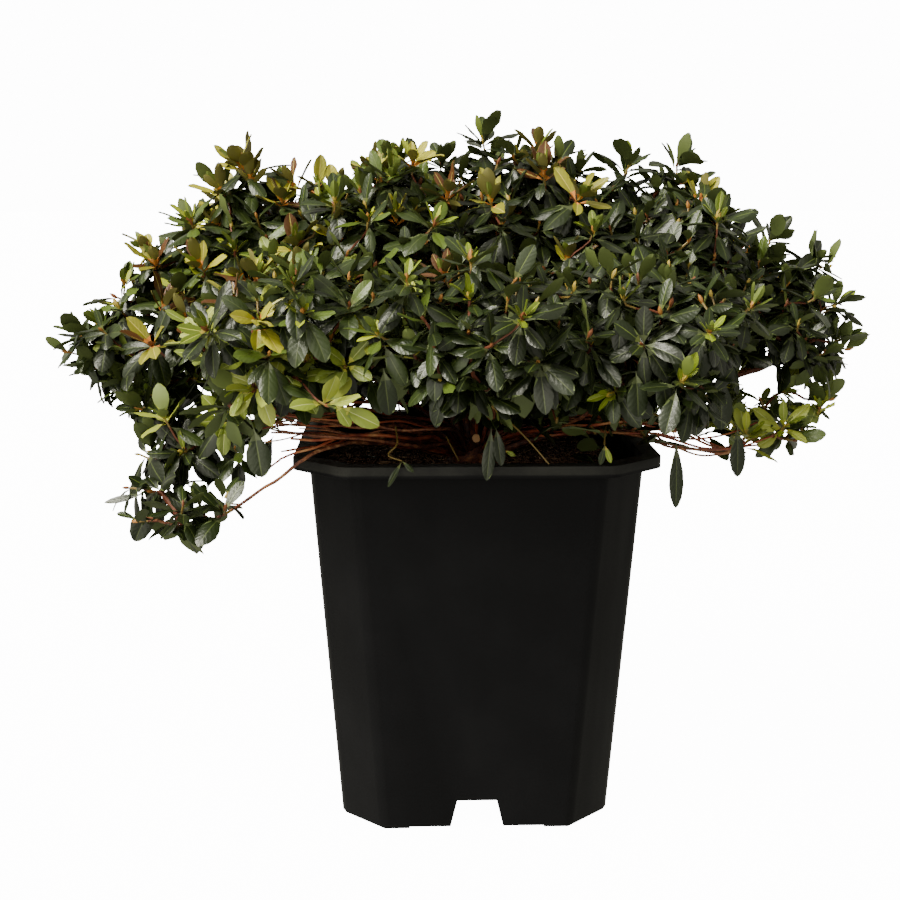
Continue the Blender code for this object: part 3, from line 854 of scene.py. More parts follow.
# The masses of the mound run together: their skin is pushed out, which closes the grooves,
# and back in. The low ones keep their gaps.
crown = joined_copy([name for name in masses if name not in LOOSE_MASSES])
for shift in (GROOVES_CLOSED, -GROOVES_CLOSED):
    voxel_remesh(crown, CROWN_VOXEL)
    skin = crown.modifiers.new("skin", "DISPLACE")
    skin.strength = shift
    skin.mid_level = 0
    bpy.ops.object.modifier_apply(modifier=skin.name)
loose = joined_copy(LOOSE_MASSES)
only(crown)
loose.select_set(True)
bpy.ops.object.join()
voxel_remesh(crown, CROWN_VOXEL)
skin_tree = BVHTree.FromPolygons(
    [v.co for v in crown.data.vertices], [list(p.vertices) for p in crown.data.polygons]
)
skin_points = np.array([p.center for p in crown.data.polygons])
skin_normals = np.array([p.normal for p in crown.data.polygons])
bpy.data.objects.remove(crown, do_unlink=True)


def depth_at(point):
    """How far under the crown's skin a point is, less than 0 outside."""
    near, normal, _, _ = skin_tree.find_nearest(Vector(point))
    offset = near - Vector(point)
    return offset.length if offset.dot(normal) > 0 else -offset.length


# Leading shoots that make the outline, each by its tip, and the sort of whorl that it carries
LEADERS = (
    ((-0.219, -0.022, 0.264), "crest"),
    ((-0.205, 0.0, 0.285), "crest"),
    ((-0.186, 0.0, 0.312), "bronze"),
    ((-0.16, 0.004, 0.324), "crest"),
    ((-0.127, 0.0, 0.358), "bronze"),
    ((-0.103, -0.004, 0.349), "bronze"),
    ((-0.078, 0.0, 0.341), "fresh"),
    ((-0.041, 0.0, 0.366), "fresh"),
    ((-0.055, -0.02, 0.356), "bronze"),
    ((0.006, 0.004, 0.374), "crest"),
    ((-0.018, 0.006, 0.362), "crest"),
    ((0.038, 0.0, 0.37), "bronze"),
    ((0.062, 0.0, 0.357), "crest"),
    ((0.09, 0.0, 0.359), "crest"),
    ((0.118, 0.002, 0.36), "crest"),
    ((0.144, 0.0, 0.33), "fresh"),
    ((0.173, 0.0, 0.317), "crest"),
    ((0.197, 0.004, 0.304), "crest"),
    ((0.213, 0.0, 0.28), "crest"),
    ((0.211, -0.014, 0.26), "crest"),
    ((0.204, -0.03, 0.228), "bright"),
    ((0.188, -0.03, 0.212), "bright"),
    ((-0.212, -0.03, 0.248), "crest"),
    ((-0.198, -0.034, 0.24), "crest"),
    ((-0.212, -0.01, 0.27), "fresh"),
    ((-0.188, -0.04, 0.226), "crest"),
    ((-0.176, -0.045, 0.214), "crest"),
    ((-0.18, -0.054, 0.204), "crest"),
    ((-0.188, -0.082, 0.19), "crest"),
)
# Tufts that stand out on the front of the crown, by their place on its skin
TUFTS = (
    ((-0.199, -0.039, 0.264), "old"),
    ((-0.173, -0.012, 0.3), "bronze"),
    ((-0.152, -0.028, 0.323), "fresh"),
    ((-0.119, -0.015, 0.345), "bronze"),
    ((-0.145, -0.048, 0.3), "bronze"),
    ((-0.126, -0.016, 0.352), "bronze"),
    ((-0.138, -0.012, 0.338), "bronze"),
    ((-0.072, -0.059, 0.334), "fresh"),
    ((-0.042, -0.04, 0.348), "fresh"),
    ((0.036, -0.03, 0.348), "bronze"),
    ((-0.031, -0.03, 0.3537), "bronze"),
    ((-0.0147, -0.05, 0.3374), "bronze"),
    ((0.0046, -0.05, 0.3344), "bronze"),
    ((0.0542, -0.05, 0.3329), "bronze"),
    ((0.122, -0.062, 0.326), "fresh"),
    ((0.185, -0.039, 0.226), "bright"),
    ((-0.072, -0.138, 0.236), "pale"),
    ((-0.128, -0.082, 0.22), "pale"),
    ((-0.118, -0.11, 0.2406), "pale"),
    ((-0.088, -0.115, 0.244), "pale"),
    ((-0.094, -0.115, 0.2693), "pale"),
    ((-0.084, -0.12, 0.2584), "fresh"),
    ((-0.064, -0.125, 0.251), "pale"),
    ((-0.05, -0.125, 0.2701), "pale"),
    ((-0.145, -0.07, 0.2734), "pale"),
    ((-0.112, -0.1, 0.2596), "pale"),
    ((-0.072, -0.12, 0.27), "fresh"),
    ((-0.106, -0.095, 0.2842), "pale"),
    ((-0.11, -0.118, 0.24), "pale"),
    ((-0.089, -0.133, 0.298), "fresh"),
    ((-0.084, -0.137, 0.282), "fresh"),
    ((-0.057, -0.066, 0.324), "fresh"),
    ((-0.037, -0.143, 0.301), "fresh"),
    ((-0.019, -0.07, 0.322), "fresh"),
    ((0.014, -0.061, 0.322), "old"),
    ((-0.007, -0.136, 0.31), "fresh"),
    ((0.042, -0.125, 0.296), "old"),
    ((0.059, -0.06, 0.32), "fresh"),
    ((0.061, -0.141, 0.292), "fresh"),
    ((0.015, -0.167, 0.283), "fresh"),
    ((0.102, -0.154, 0.273), "fresh"),
    ((0.091, -0.157, 0.253), "fresh"),
    ((-0.168, -0.053, 0.256), "bronze"),
    ((-0.131, -0.132, 0.273), "fresh"),
    ((0.069, -0.151, 0.266), "old"),
    ((0.131, -0.116, 0.285), "fresh"),
    ((0.023, -0.158, 0.258), "old"),
    ((0.06, -0.125, 0.238), "fresh"),
    ((0.14, -0.06, 0.214), "bright"),
    ((0.008, -0.104, 0.226), "sprig"),
    ((-0.052, -0.145, 0.274), "fresh"),
)

# Where open air shows under the crown and through it, as places on the upright plane through
# the stem: the lower edge of the crown from left to right, the hanging tuft as a run of low and
# high edges, and gaps as boxes
LOWER_EDGE = (
    (-0.237, 0.262), (-0.231, 0.24), (-0.216, 0.234), (-0.208, 0.212), (-0.199, 0.218),
    (-0.185, 0.198), (-0.168, 0.191), (-0.152, 0.189), (-0.132, 0.186), (-0.119, 0.199),
    (-0.096, 0.211), (-0.071, 0.215), (-0.05, 0.215), (-0.04, 0.22), (-0.018, 0.207),
    (-0.009, 0.218), (-0.001, 0.215), (0.016, 0.206), (0.038, 0.204), (0.072, 0.199),
    (0.095, 0.202), (0.106, 0.203), (0.129, 0.195), (0.149, 0.187), (0.163, 0.188),
    (0.18, 0.186), (0.194, 0.194), (0.204, 0.213), (0.212, 0.229), (0.214, 0.251),
)
HANGING_TUFT = (
    (-0.206, 0.16, 0.172),
    (-0.19, 0.143, 0.182),
    (-0.17, 0.146, 0.212),
    (-0.152, 0.135, 0.212),
    (-0.13, 0.155, 0.212),
    (-0.114, 0.174, 0.212),
)
AIR_GAPS = (
    (0.152, 0.177, 0.227, 0.242),
    (0.153, 0.164, 0.244, 0.256),
    (0.129, 0.149, 0.196, 0.203),
    (0.077, 0.086, 0.236, 0.243),
    (-0.117, -0.103, 0.21, 0.216),
    (-0.188, -0.172, 0.252, 0.276),
    (-0.24, -0.192, 0.277, 0.33),
)
EYE = np.array(CAMERA_AT)


def in_open_air(point):
    """Whether a point lies where the crown is open, seen from the front."""
    x, _, z = EYE + (point - EYE) * -EYE[1] / (point[1] - EYE[1])
    for left, right, low, high in AIR_GAPS:
        if left < x < right and low < z < high:
            return True
    edge_x, edge_z = np.transpose(LOWER_EDGE)
    tuft_x, tuft_low, tuft_high = np.transpose(HANGING_TUFT)
    if z > np.interp(x, edge_x, edge_z):
        return False
    in_tuft = tuft_x[0] < x < tuft_x[-1]
    return not (in_tuft and np.interp(x, tuft_x, tuft_low) < z < np.interp(x, tuft_x, tuft_high))


targets = []
taken = np.full((MOST_SHOOTS, 3), 9.0)
room = np.zeros(MOST_SHOOTS)


def crowded(place, spacing):
    gaps = np.linalg.norm(taken[: len(targets) + 1] - place, axis=1)
    return bool((gaps < np.maximum(room[: len(targets) + 1], spacing)).any())


def aim_shoot(place, way, sort, clear=0.0):
    taken[len(targets)] = place
    room[len(targets)] = clear
    targets.append({"place": place, "way": way, "sort": sort})


for tip, sort in LEADERS:
    way = unit(unit(tip - UP * 0.235) + 0.35 * UP)
    place = tip - way * LEADER_DEPTH
    aim_shoot(place, way, sort)
    for _ in range(COMPANIONS):
        aside = chance.normal(size=3) * (1, 0.8, 0.4) * COMPANION_SPREAD - way * 0.008
        aim_shoot(place + aside, unit(way + aside * 30), "old")
for spot, sort in TUFTS:
    _, normal, _, _ = skin_tree.find_nearest(Vector(spot))
    normal = np.array(normal)
    way = unit(normal * 0.75 + UP * 0.6 + chance.normal(size=3) * 0.12)
    aim_shoot(spot - normal * TUFT_DEPTH, way, sort, TUFT_ROOM)


def sort_at(place):
    """The sort of whorl there: young leaves are commonest on the left, bronze ones on top and
    on the left shoulder, and bright ones low on the right."""
    x, y, z = place
    high_left = x < -0.10 and z > 0.27
    low_right = x > 0.11 and z < 0.245
    bronze = 0.22 if high_left else 0.18 if z > 0.30 and x < 0.06 else 0.01
    fresh = 0.03 + 2.2 * max(0.0, -x)
    front_left = x < -0.03 and y < 0.02 and z > 0.215
    pale = 0.10 if front_left and z > 0.27 else 0.46 if front_left else 0.0
    roll = chance.random()
    if low_right:
        return "bright" if roll < 0.9 else "old"
    if roll < bronze:
        return "bronze"
    if roll < bronze + fresh:
        return "fresh"
    return "pale" if roll < bronze + fresh + pale else "old"


order = chance.permutation(len(skin_points))
for k in order:
    point, normal = skin_points[k], skin_normals[k]
    below = max(0.0, -normal[2])
    place = point - normal * (SKIN_DEPTH + 0.012 * below + chance.uniform(-0.003, 0.004))
    low_side = abs(place[0]) > 0.105 and place[2] < 0.235
    loose = (1.3 if place[0] < 0 else 1.12) if low_side else 1.0
    spacing = SHOOT_SPACING * loose * (1 + 0.3 * below)
    if crowded(place, spacing) or depth_at(place) < SKIN_DEPTH * 0.6:
        continue
    if in_open_air(place):
        continue
    way = unit(normal * (0.75 - 0.5 * below) + UP * (0.5 + below) + chance.normal(size=3) * 0.26)
    aim_shoot(place, way, sort_at(place))
for k in order:
    point, normal = skin_points[k], skin_normals[k]
    place = point - normal * (INNER_DEPTH + chance.uniform(-0.003, 0.020))
    if crowded(place, INNER_SPACING) or in_open_air(place):
        continue
    if depth_at(place) > INNER_DEPTH * 0.7:
        aim_shoot(place, unit(normal * 0.5 + UP * 0.6 + chance.normal(size=3) * 0.4), "inner")
low_shoots = 0
while low_shoots < LOW_SHOOTS:
    turn, reach = chance.uniform(0, math.tau), chance.uniform(*LOW_REACH)
    place = np.array((math.sin(turn) * reach, math.cos(turn) * reach, chance.uniform(*LOW_HEIGHTS)))
    bare = place[0] < -0.01 and place[1] < 0.02
    if not bare and not crowded(place, INNER_SPACING) and not in_open_air(place):
        aim_shoot(place, unit(chance.normal(size=3) * 0.5 + UP * 0.6), "inner")
        low_shoots += 1


# Twigs: each new shoot forks from the nearest older wood and turns up towards the light, and
# wood that carries more shoots is thicker. Twigs are red-brown, and the last growth is a dull
# green gold.

TWIG_STEP = 0.005
TIP_RADIUS = 0.00055
THICKEST_TWIG = 0.0022
THICKENING = 2.7
NEW_GROWTH = 0.009
MOST_NODES = 40000
TWIG_WANDER = 0.0014
SPROUT_STEP = 0.002
SPROUT_RADII = (0.0005, 0.0003)
# Sprouts low on the wood at the front, as the points of each stem
SPROUTS = (
    ((-0.042, -0.074, 0.2185), (-0.0412, -0.09, 0.2124), (-0.0457, -0.094, 0.2076),
     (-0.0388, -0.099, 0.2055)),
    ((0.068, -0.056, 0.216), (0.063, -0.086, 0.218), (0.061, -0.098, 0.213)),
    ((-0.0156, -0.05, 0.209), (-0.013, -0.06, 0.205), (-0.0096, -0.066, 0.1991)),
    ((0.01, -0.07, 0.224), (0.0157, -0.085, 0.2218), (0.0247, -0.092, 0.2134),
     (0.0338, -0.097, 0.2032)),
    ((0.004, -0.06, 0.206), (0.01, -0.07, 0.205), (0.013, -0.08, 0.207)),
    ((0.086, -0.075, 0.226), (0.092, -0.092, 0.224), (0.096, -0.1, 0.2165)),
)

node_places = np.zeros((MOST_NODES, 3))
node_ways = np.zeros((MOST_NODES, 3))
node_parents = np.full(MOST_NODES, -1)
node_radii = np.ones(MOST_NODES)
nodes = 0
for path, radii in limbs:
    thickness = np.interp(np.linspace(0, 1, len(path)), (0, 0.25, 1), radii)
    ways = np.gradient(path, axis=0)
    for place, way, radius in list(zip(path, ways, thickness))[::3]:
        if math.hypot(place[0], place[1]) > 0.035 or place[2] > 0.24:
            node_places[nodes], node_ways[nodes], node_radii[nodes] = place, unit(way), radius
            nodes += 1

wood = node_places[:nodes].copy()
targets.sort(key=lambda target: np.linalg.norm(wood - target["place"], axis=1).min())
twigs = []
for target in targets:
    offsets = target["place"] - node_places[:nodes]
    gaps = np.linalg.norm(offsets, axis=1) + 1e-6
    forward = np.einsum("ij,ij->i", offsets, node_ways[:nodes]) / gaps
    into = offsets @ target["way"] / gaps
    cost = gaps * (1.35 - 0.35 * forward) * (1.25 - 0.25 * into) + 0.006 * (gaps < 0.009)
    parent = int(np.argmin(cost))
    length = gaps[parent]
    a, b = node_places[parent].copy(), target["place"]
    lead_out = a + unit(node_ways[parent] * 0.6 + unit(offsets[parent])) * length * 0.4
    lead_in = b - target["way"] * length * 0.45
    t = np.linspace(0, 1, max(3, int(length * 1.1 / TWIG_STEP) + 1))[:, None]
    path = a * (1 - t) ** 3 + lead_out * 3 * t * (1 - t) ** 2 + lead_in * 3 * t**2 * (1 - t) + b * t**3
    sway = np.array([noise.noise_vector(Vector(p) * 60) for p in path]) * TWIG_WANDER
    path = over_rim(path + sway * np.sin(t * math.pi))
    ids = [parent]
    for place, way in zip(path[1:], np.gradient(path, axis=0)[1:]):
        node_places[nodes], node_ways[nodes], node_parents[nodes] = place, unit(way), ids[-1]
        ids.append(nodes)
        nodes += 1
    twigs.append((path, ids))
    target["path"] = path
load = np.zeros(nodes)
for _, ids in twigs:
    load[ids[-1]] += 1
for k in range(nodes - 1, -1, -1):
    if node_parents[k] >= 0:
        load[node_parents[k]] += load[k]

twig_bundle = Bundle(6)
for path, ids in twigs:
    radii = TIP_RADIUS * np.maximum(load[ids], 1) ** (1 / THICKENING)
    radii[0] = min(radii[1], node_radii[ids[0]] * 0.9)
    radii = np.minimum(radii, THICKEST_TWIG)
    left = np.linalg.norm(path - path[-1], axis=1)[:-1]
    new = (left < NEW_GROWTH) & (load[ids[1:]] <= 1)
    twig_bundle.add(path, radii, new.astype(int))
for points in SPROUTS:
    path = smooth_path(points, SPROUT_STEP)
    twig_bundle.add(path, np.linspace(*SPROUT_RADII, len(path)), 1)

# Second-year twigs: red-brown and matt
twig_bark, _ = surface("twig_bark", Roughness=0.65, Base_Color=linear("#5a2a14"))
# This year's growth: smooth skin, a dull green gold
new_growth, _ = surface("new_growth", Roughness=0.5, Base_Color=linear("#6e5a28"))
twig_piece = twig_bundle.make("twigs", [twig_bark, new_growth])
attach(twig_piece, "root")


# Leaves: leathery, oval, widest past the middle, on short stalks in whorls at the shoot ends.
# Old ones spread and droop, dark and glossy above and paler below. New ones stand up,
# yellow-green or bronze. Their margins roll down a little and a pale rib runs along them.

LEAF_ROWS = ((0.11, 0.08), (0.27, 0.50), (0.47, 0.90), (0.66, 1.0), (0.84, 0.77), (0.955, 0.35))
LEAF_COLUMNS = (-1.0, -0.54, -0.06, 0.06, 0.54, 1.0)
BLADE = 0.00035
BLADE_PART, RIB_PART, UNDER_PART, STALK_PART = 0, 3, 4, 5
PART_OF_SIDE = (BLADE_PART, BLADE_PART, RIB_PART, BLADE_PART, BLADE_PART, UNDER_PART, UNDER_PART)

# The blade as a flattened tube: each row has six corners above and one below, and both ends
# close in a point. A corner is its share of the length, of the half width, and its layer.
row_count, side_count = len(LEAF_ROWS), len(PART_OF_SIDE)
rows = [[(t, width * column, 0) for column in LEAF_COLUMNS] + [(t, 0, 1)] for t, width in LEAF_ROWS]
leaf_t, leaf_x, leaf_under = np.array([(0, 0, 0)] + sum(rows, []) + [(1, 0, 0)], float).T
quads, quad_parts, ends, end_parts = [], [], [], []
last_row = 1 + (row_count - 1) * side_count
for side, part in enumerate(PART_OF_SIDE):
    after = (side + 1) % side_count
    ends += [(0, 1 + after, 1 + side), (last_row + side, last_row + after, last_row + side_count)]
    end_parts += [STALK_PART, part]
    for row in range(row_count - 1):
        low = 1 + row * side_count
        high = low + side_count
        quads.append((low + side, low + after, high + after, high + side))
        quad_parts.append(STALK_PART if row == 0 else part)
leaf_quads, leaf_ends = np.array(quads), np.array(ends)
quad_parts, end_parts = np.array(quad_parts), np.array(end_parts)
leaf_chart = np.column_stack([np.abs(leaf_x), leaf_t])


def leaf_corners(leaf):
    """The corners of all the leaves: an array of leaves, by corners, by x, y and z."""
    length, half = leaf["length"][:, None], leaf["width"][:, None]
    spread = np.abs(leaf_x)
    x = leaf_x * half
    wave = np.sin(leaf_t * 14 + leaf_x * 2 + leaf["phase"][:, None])
    swell = leaf["swell"][:, None] * np.sin(spread * math.pi)
    z = half * (leaf["fold"][:, None] * spread + swell - leaf["roll"][:, None] * spread**3)
    z = z + half * leaf["ripple"][:, None] * wave * spread - leaf_under * BLADE
    twist = leaf["twist"][:, None] * leaf_t
    x, z = x * np.cos(twist) - z * np.sin(twist), x * np.sin(twist) + z * np.cos(twist)
    bend = leaf["bend"][:, None] + 1e-4
    along = np.sin(bend * leaf_t) / bend * length + np.sin(bend * leaf_t) * z
    up = (np.cos(bend * leaf_t) - 1) / bend * length + np.cos(bend * leaf_t) * z
    ahead, normal = leaf["ahead"][:, None], leaf["normal"][:, None]
    across = np.cross(ahead, normal)
    parts = x[..., None] * across + along[..., None] * ahead + up[..., None] * normal
    return leaf["place"][:, None] + parts


# How the leaves of each kind grow: the range of their length, of the share of it that is half
# their width, of their bend and of their fold
HABITS = {
    "old": ((0.0155, 0.0248), (0.165, 0.235), (0.15, 1.00), (-0.20, 0.25)),
    "full": ((0.0130, 0.0205), (0.170, 0.225), (0.00, 0.60), (0.00, 0.35)),
    "young": ((0.0070, 0.0155), (0.140, 0.195), (-0.30, 0.45), (0.20, 0.60)),
    "bronze": ((0.0125, 0.0215), (0.165, 0.215), (-0.30, 0.50), (0.15, 0.50)),
    "pale": ((0.0150, 0.0220), (0.190, 0.235), (-0.10, 0.60), (0.10, 0.35)),
}
# The leaves of each sort of whorl, from the lowest up: their kind, how many there are, and
# the range of their lean from the shoot in degrees
WHORLS = {
    "old": (("old", 10, 56, 116), ("full", 2, 14, 56)),
    "crest": (("old", 9, 28, 108), ("full", 4, 14, 50), ("young", 1, 6, 30)),
    "fresh": (("old", 7, 66, 116), ("full", 4, 40, 76), ("young", 6, 10, 58)),
    "bronze": (("old", 6, 66, 114), ("bronze", 7, 12, 72), ("young", 2, 6, 30)),
    "pale": (("old", 2, 80, 110), ("pale", 6, 25, 80), ("young", 1, 6, 20)),
    "bright": (("pale", 9, 36, 108), ("young", 5, 10, 60)),
    "sprig": (("full", 3, 30, 80), ("young", 3, 8, 40)),
    "inner": (("old", 8, 50, 120),),
}
LOWEST_LEAF = 0.0080
# Leaves that hang or stand clear at the front, by foot, tip, half width and kind
HANGING = (
    ((-0.0388, -0.099, 0.2055), (-0.0457, -0.104, 0.1935), 0.0016, "full"),
    ((-0.0388, -0.099, 0.2055), (-0.033, -0.101, 0.2003), 0.0014, "full"),
    ((-0.0829, -0.11, 0.238), (-0.0829, -0.11, 0.2556), 0.0042, "pale"),
    ((-0.073, -0.118, 0.235), (-0.096, -0.118, 0.246), 0.0042, "pale"),
    ((-0.069, -0.12, 0.236), (-0.049, -0.122, 0.227), 0.0044, "pale"),
    ((-0.07, -0.12, 0.237), (-0.063, -0.124, 0.227), 0.0032, "pale"),
    ((-0.0206, -0.1, 0.2456), (-0.0217, -0.105, 0.2228), 0.004, "old"),
    ((0.061, -0.099, 0.213), (0.059, -0.1005, 0.203), 0.0019, "full"),
    ((0.061, -0.099, 0.213), (0.0645, -0.1, 0.204), 0.0015, "young"),
    ((0.005, -0.101, 0.223), (0.003, -0.105, 0.196), 0.0033, "old"),
    ((0.007, -0.101, 0.223), (0.01, -0.106, 0.204), 0.003, "old"),
    ((0.096, -0.1, 0.2165), (0.098, -0.101, 0.18), 0.0037, "old"),
    ((0.133, -0.07, 0.218), (0.135, -0.071, 0.19), 0.0042, "old"),
    ((0.117, -0.1, 0.249), (0.119, -0.102, 0.22), 0.0058, "old"),
    ((0.069, -0.14, 0.255), (0.071, -0.142, 0.233), 0.0052, "old"),
    ((0.08, -0.14, 0.257), (0.085, -0.142, 0.234), 0.0046, "old"),
    ((-0.109, -0.118, 0.226), (-0.105, -0.122, 0.202), 0.0062, "old"),
    ((-0.047, -0.14, 0.257), (-0.044, -0.14, 0.234), 0.005, "old"),
    ((-0.018, -0.13, 0.248), (-0.023, -0.13, 0.227), 0.0036, "old"),
    ((0.013, -0.08, 0.207), (0.018, -0.083, 0.205), 0.0012, "young"),
    ((0.013, -0.08, 0.207), (0.009, -0.083, 0.211), 0.0012, "young"),
    ((-0.168, -0.08, 0.186), (-0.189, -0.083, 0.182), 0.002, "old"),
    ((-0.164, -0.08, 0.184), (-0.174, -0.085, 0.162), 0.0056, "old"),
    ((-0.142, -0.08, 0.172), (-0.143, -0.084, 0.156), 0.004, "full"),
)
FALLEN = 26
FALLEN_SIZES = (0.009, 0.016)
OLD_SIZES = (0.015, 0.021)
POT_CLEARANCE = 0.001
COMPOST_CLEARANCE = 0.002
GOLDEN_ANGLE = math.radians(137.5)
# Painted light and shade: the tint for whorls painted as lit, and the tints for those painted as shaded
PAINTED_LIT_TINT = 1
PAINTED_SHADED_TINTS = (0, 2)

leaves = {kind: [] for kind in HABITS}


def clear_of_pot(foot, ahead, length):
    """False where a leaf would run into the pot's rim or the compost."""
    for share in (0.3, 0.65, 1.0):
        x, y, z = foot + ahead * length * share
        reach = max(abs(x), abs(y))
        over = reach < RIM_HALF + POT_CLEARANCE and z < POT_HEIGHT + POT_CLEARANCE
        if over and (z < SOIL_TOP + COMPOST_CLEARANCE or reach > BODY_TOP_HALF - WALL_CLEARANCE):
            return False
    return True


def place_leaf(kind, foot, ahead, facing, length, width, bend, fold, tint):
    """Adds one leaf, by its foot, the way it points and the way its face looks."""
    ahead = unit(np.asarray(ahead, float))
    normal = facing - ahead * facing.dot(ahead)
    if np.linalg.norm(normal) < 0.15:
        normal = np.cross(ahead, (0.31, 0.17, 0.9))
    leaves[kind].append(
        {
            "place": np.asarray(foot, float),
            "ahead": ahead,
            "normal": unit(normal),
            "length": length,
            "width": width,
            "bend": bend,
            "fold": fold,
            "swell": chance.uniform(0.04, 0.16),
            "roll": chance.uniform(0.05, 0.35),
            "twist": chance.normal() * 0.3,
            "ripple": chance.uniform(0, 0.05),
            "phase": chance.uniform(0, math.tau),
            "tint": tint,
        }
    )


def painted_light_share(place):
    """The share of whorls there that take the light tint, as painted light: many on the lit left and low on
    the right, against the crown's shade, few elsewhere.
    """
    x, y, z = place
    if x > 0.11 and z < 0.245:
        return 0.8
    if x < -0.10 and z < 0.215:
        return 0.2
    if x < -0.09 and z > 0.29:
        return 0.8
    return 0.5 if x < -0.02 else 0.06


for target in targets:
    tip, way = target["place"], target["way"]
    side = unit(np.cross(way, (0.31, 0.17, 0.9)))
    other = np.cross(way, side)
    angle = chance.uniform(0, math.tau)
    vigour = chance.uniform(0.88, 1.08)
    # Painted light and shade: a whorl takes the light tint where the crown is painted as lit, else a
    # darker, shaded tint
    tint = PAINTED_LIT_TINT if chance.random() < painted_light_share(tip) else int(chance.choice(PAINTED_SHADED_TINTS))
    for kind, count, low_lean, high_lean in WHORLS[target["sort"]]:
        length_range, width_range, bend_range, fold_range = HABITS[kind]
        count += int(chance.integers(-1, 2)) if count > 2 else 0
        for k in range(count):
            lean = high_lean - (high_lean - low_lean) * (k + 0.5) / count
            foot = tip - way * LOWEST_LEAF * (lean / 110) ** 1.5
            lean = math.radians(lean + chance.normal() * 7)
            angle += GOLDEN_ANGLE + chance.normal() * 0.12
            out = side * math.cos(angle) + other * math.sin(angle)
            ahead = way * math.cos(lean) + out * math.sin(lean)
            if kind == "old":
                ahead = unit(ahead - UP * 0.15 * lean)
            length = chance.uniform(*length_range) * vigour
            if clear_of_pot(foot, ahead, length) and not in_open_air(foot + ahead * length * 0.95):
                place_leaf(
                    kind,
                    foot,
                    ahead,
                    way * 0.75 + UP * 0.45 + chance.normal(size=3) * 0.12,
                    length,
                    length * chance.uniform(*width_range),
                    chance.uniform(*bend_range),
                    chance.uniform(*fold_range),
                    tint if chance.random() < 0.8 else int(chance.choice(PAINTED_SHADED_TINTS)),
                )

# A few older leaves are left further back along the bare wood, and some lie on the compost
for target in targets:
    path = target["path"]
    for k in range(2, len(path) - 3):
        way = unit(path[k + 1] - path[k - 1])
        out = unit(np.cross(way, chance.normal(size=3)))
        ahead = unit(out + way * 0.4 - UP * 0.15)
        length = chance.uniform(*OLD_SIZES)
        hidden = not in_open_air(path[k] + ahead * length)
        if chance.random() < 0.3 and hidden and clear_of_pot(path[k], ahead, length):
            facing = UP + chance.normal(size=3) * 0.3
            tint = int(chance.choice(PAINTED_SHADED_TINTS))
            place_leaf("old", path[k], ahead, facing, length, length * 0.21, 0.4, 0.15, tint)
for spot in on_compost(FALLEN):
    ahead = unit(chance.normal(size=3) * (1, 1, 0.15))
    facing = UP + chance.normal(size=3) * 0.4
    length = chance.uniform(*FALLEN_SIZES)
    kind = "full" if chance.random() < 0.4 else "old"
    if np.abs(spot + ahead * length)[:2].max() < BODY_TOP_HALF - 0.006:
        place_leaf(kind, spot + UP * COMPOST_CLEARANCE, ahead, facing, length, length * 0.22, 0.5, 0.2, 0)
for foot, tip, width, kind in HANGING:
    ahead = np.subtract(tip, foot)
    facing = np.array((0.1, -1.0, 0.25))
    place_leaf(kind, foot, ahead, facing, np.linalg.norm(ahead), width, 0.25, 0.15, 0)

# Leaf finishes. Each kind has three tints of blade, middling, light and dark, that are dealt
# out mostly whorl by whorl, the light one as painted light where the crown is lit and the
# others as painted shade, then a rib, an underside and a stalk, and the roughness of its
# blade. An old blade is waxy and hard, and a new one softer.
FINISHES = {
    "old": (("#161f09", "#242f10", "#101705"), "#38421c", "#465226", "#343c1c", 0.37),
    "full": (("#1f2a0e", "#42521a", "#161f09"), "#4a581e", "#4a5624", "#4c5420", 0.40),
    "young": (("#6e7e1c", "#8e9829", "#505e16"), "#a0a448", "#5a6822", "#988630", 0.40),
    "bronze": (("#7c7a24", "#9a962e", "#4e3018"), "#b4a650", "#625e28", "#bc7630", 0.40),
    "pale": (("#72802e", "#868f36", "#626f28"), "#a0a864", "#6a783e", "#a0a03c", 0.46),
}
LEAVES_PER_PIECE = 2200
# About seven pairs of side veins a leaf, slanting forward from the rib
VEIN_SCALE = 4.4
VEIN_SLANT = 0.30


def leaf_finish(kind):
    """The six materials of one kind of leaf, in the order of a leaf's parts."""
    tints, rib, under, stalk, roughness = FINISHES[kind]
    finish = []
    for k, tint in enumerate(tints):
        blade, shader = surface(
            f"{kind}_leaf_{k + 1}", Base_Color=linear(tint), Roughness=roughness, Specular_IOR_Level=0.38
        )
        along = add(blade, "ShaderNodeUVMap", uv_map="chart").outputs["UV"]
        slant = add(blade, "ShaderNodeMapping", {"Vector": along}, Scale=(-VEIN_SLANT, 1.0, 0.0))
        veins = add(
            blade,
            "ShaderNodeTexWave",
            {"Vector": slant.outputs["Vector"]},
            bands_direction="DIAGONAL",
            Scale=VEIN_SCALE,
            Distortion=4.0,
            Detail=2.0,
        )
        places = add(blade, "ShaderNodeTexCoord").outputs["Object"]
        cells = add(blade, "ShaderNodeTexNoise", {"Vector": places}, Scale=700.0, Detail=3.0)
        raised = {"Height": veins.outputs["Fac"]}
        quilt = add(blade, "ShaderNodeBump", raised, Strength=0.17, Distance=0.0003)
        raised = {"Height": cells.outputs["Fac"], "Normal": quilt.outputs["Normal"]}
        grain = add(blade, "ShaderNodeBump", raised, Strength=0.3, Distance=0.0005)
        blade.node_tree.links.new(grain.outputs["Normal"], shader.inputs["Normal"])
        finish.append(blade)
    finish.append(surface(f"{kind}_leaf_rib", Base_Color=linear(rib), Roughness=roughness)[0])
    finish.append(surface(f"{kind}_leaf_underside", Base_Color=linear(under), Roughness=0.65)[0])
    finish.append(surface(f"{kind}_leaf_stalk", Base_Color=linear(stalk), Roughness=0.55)[0])
    return finish


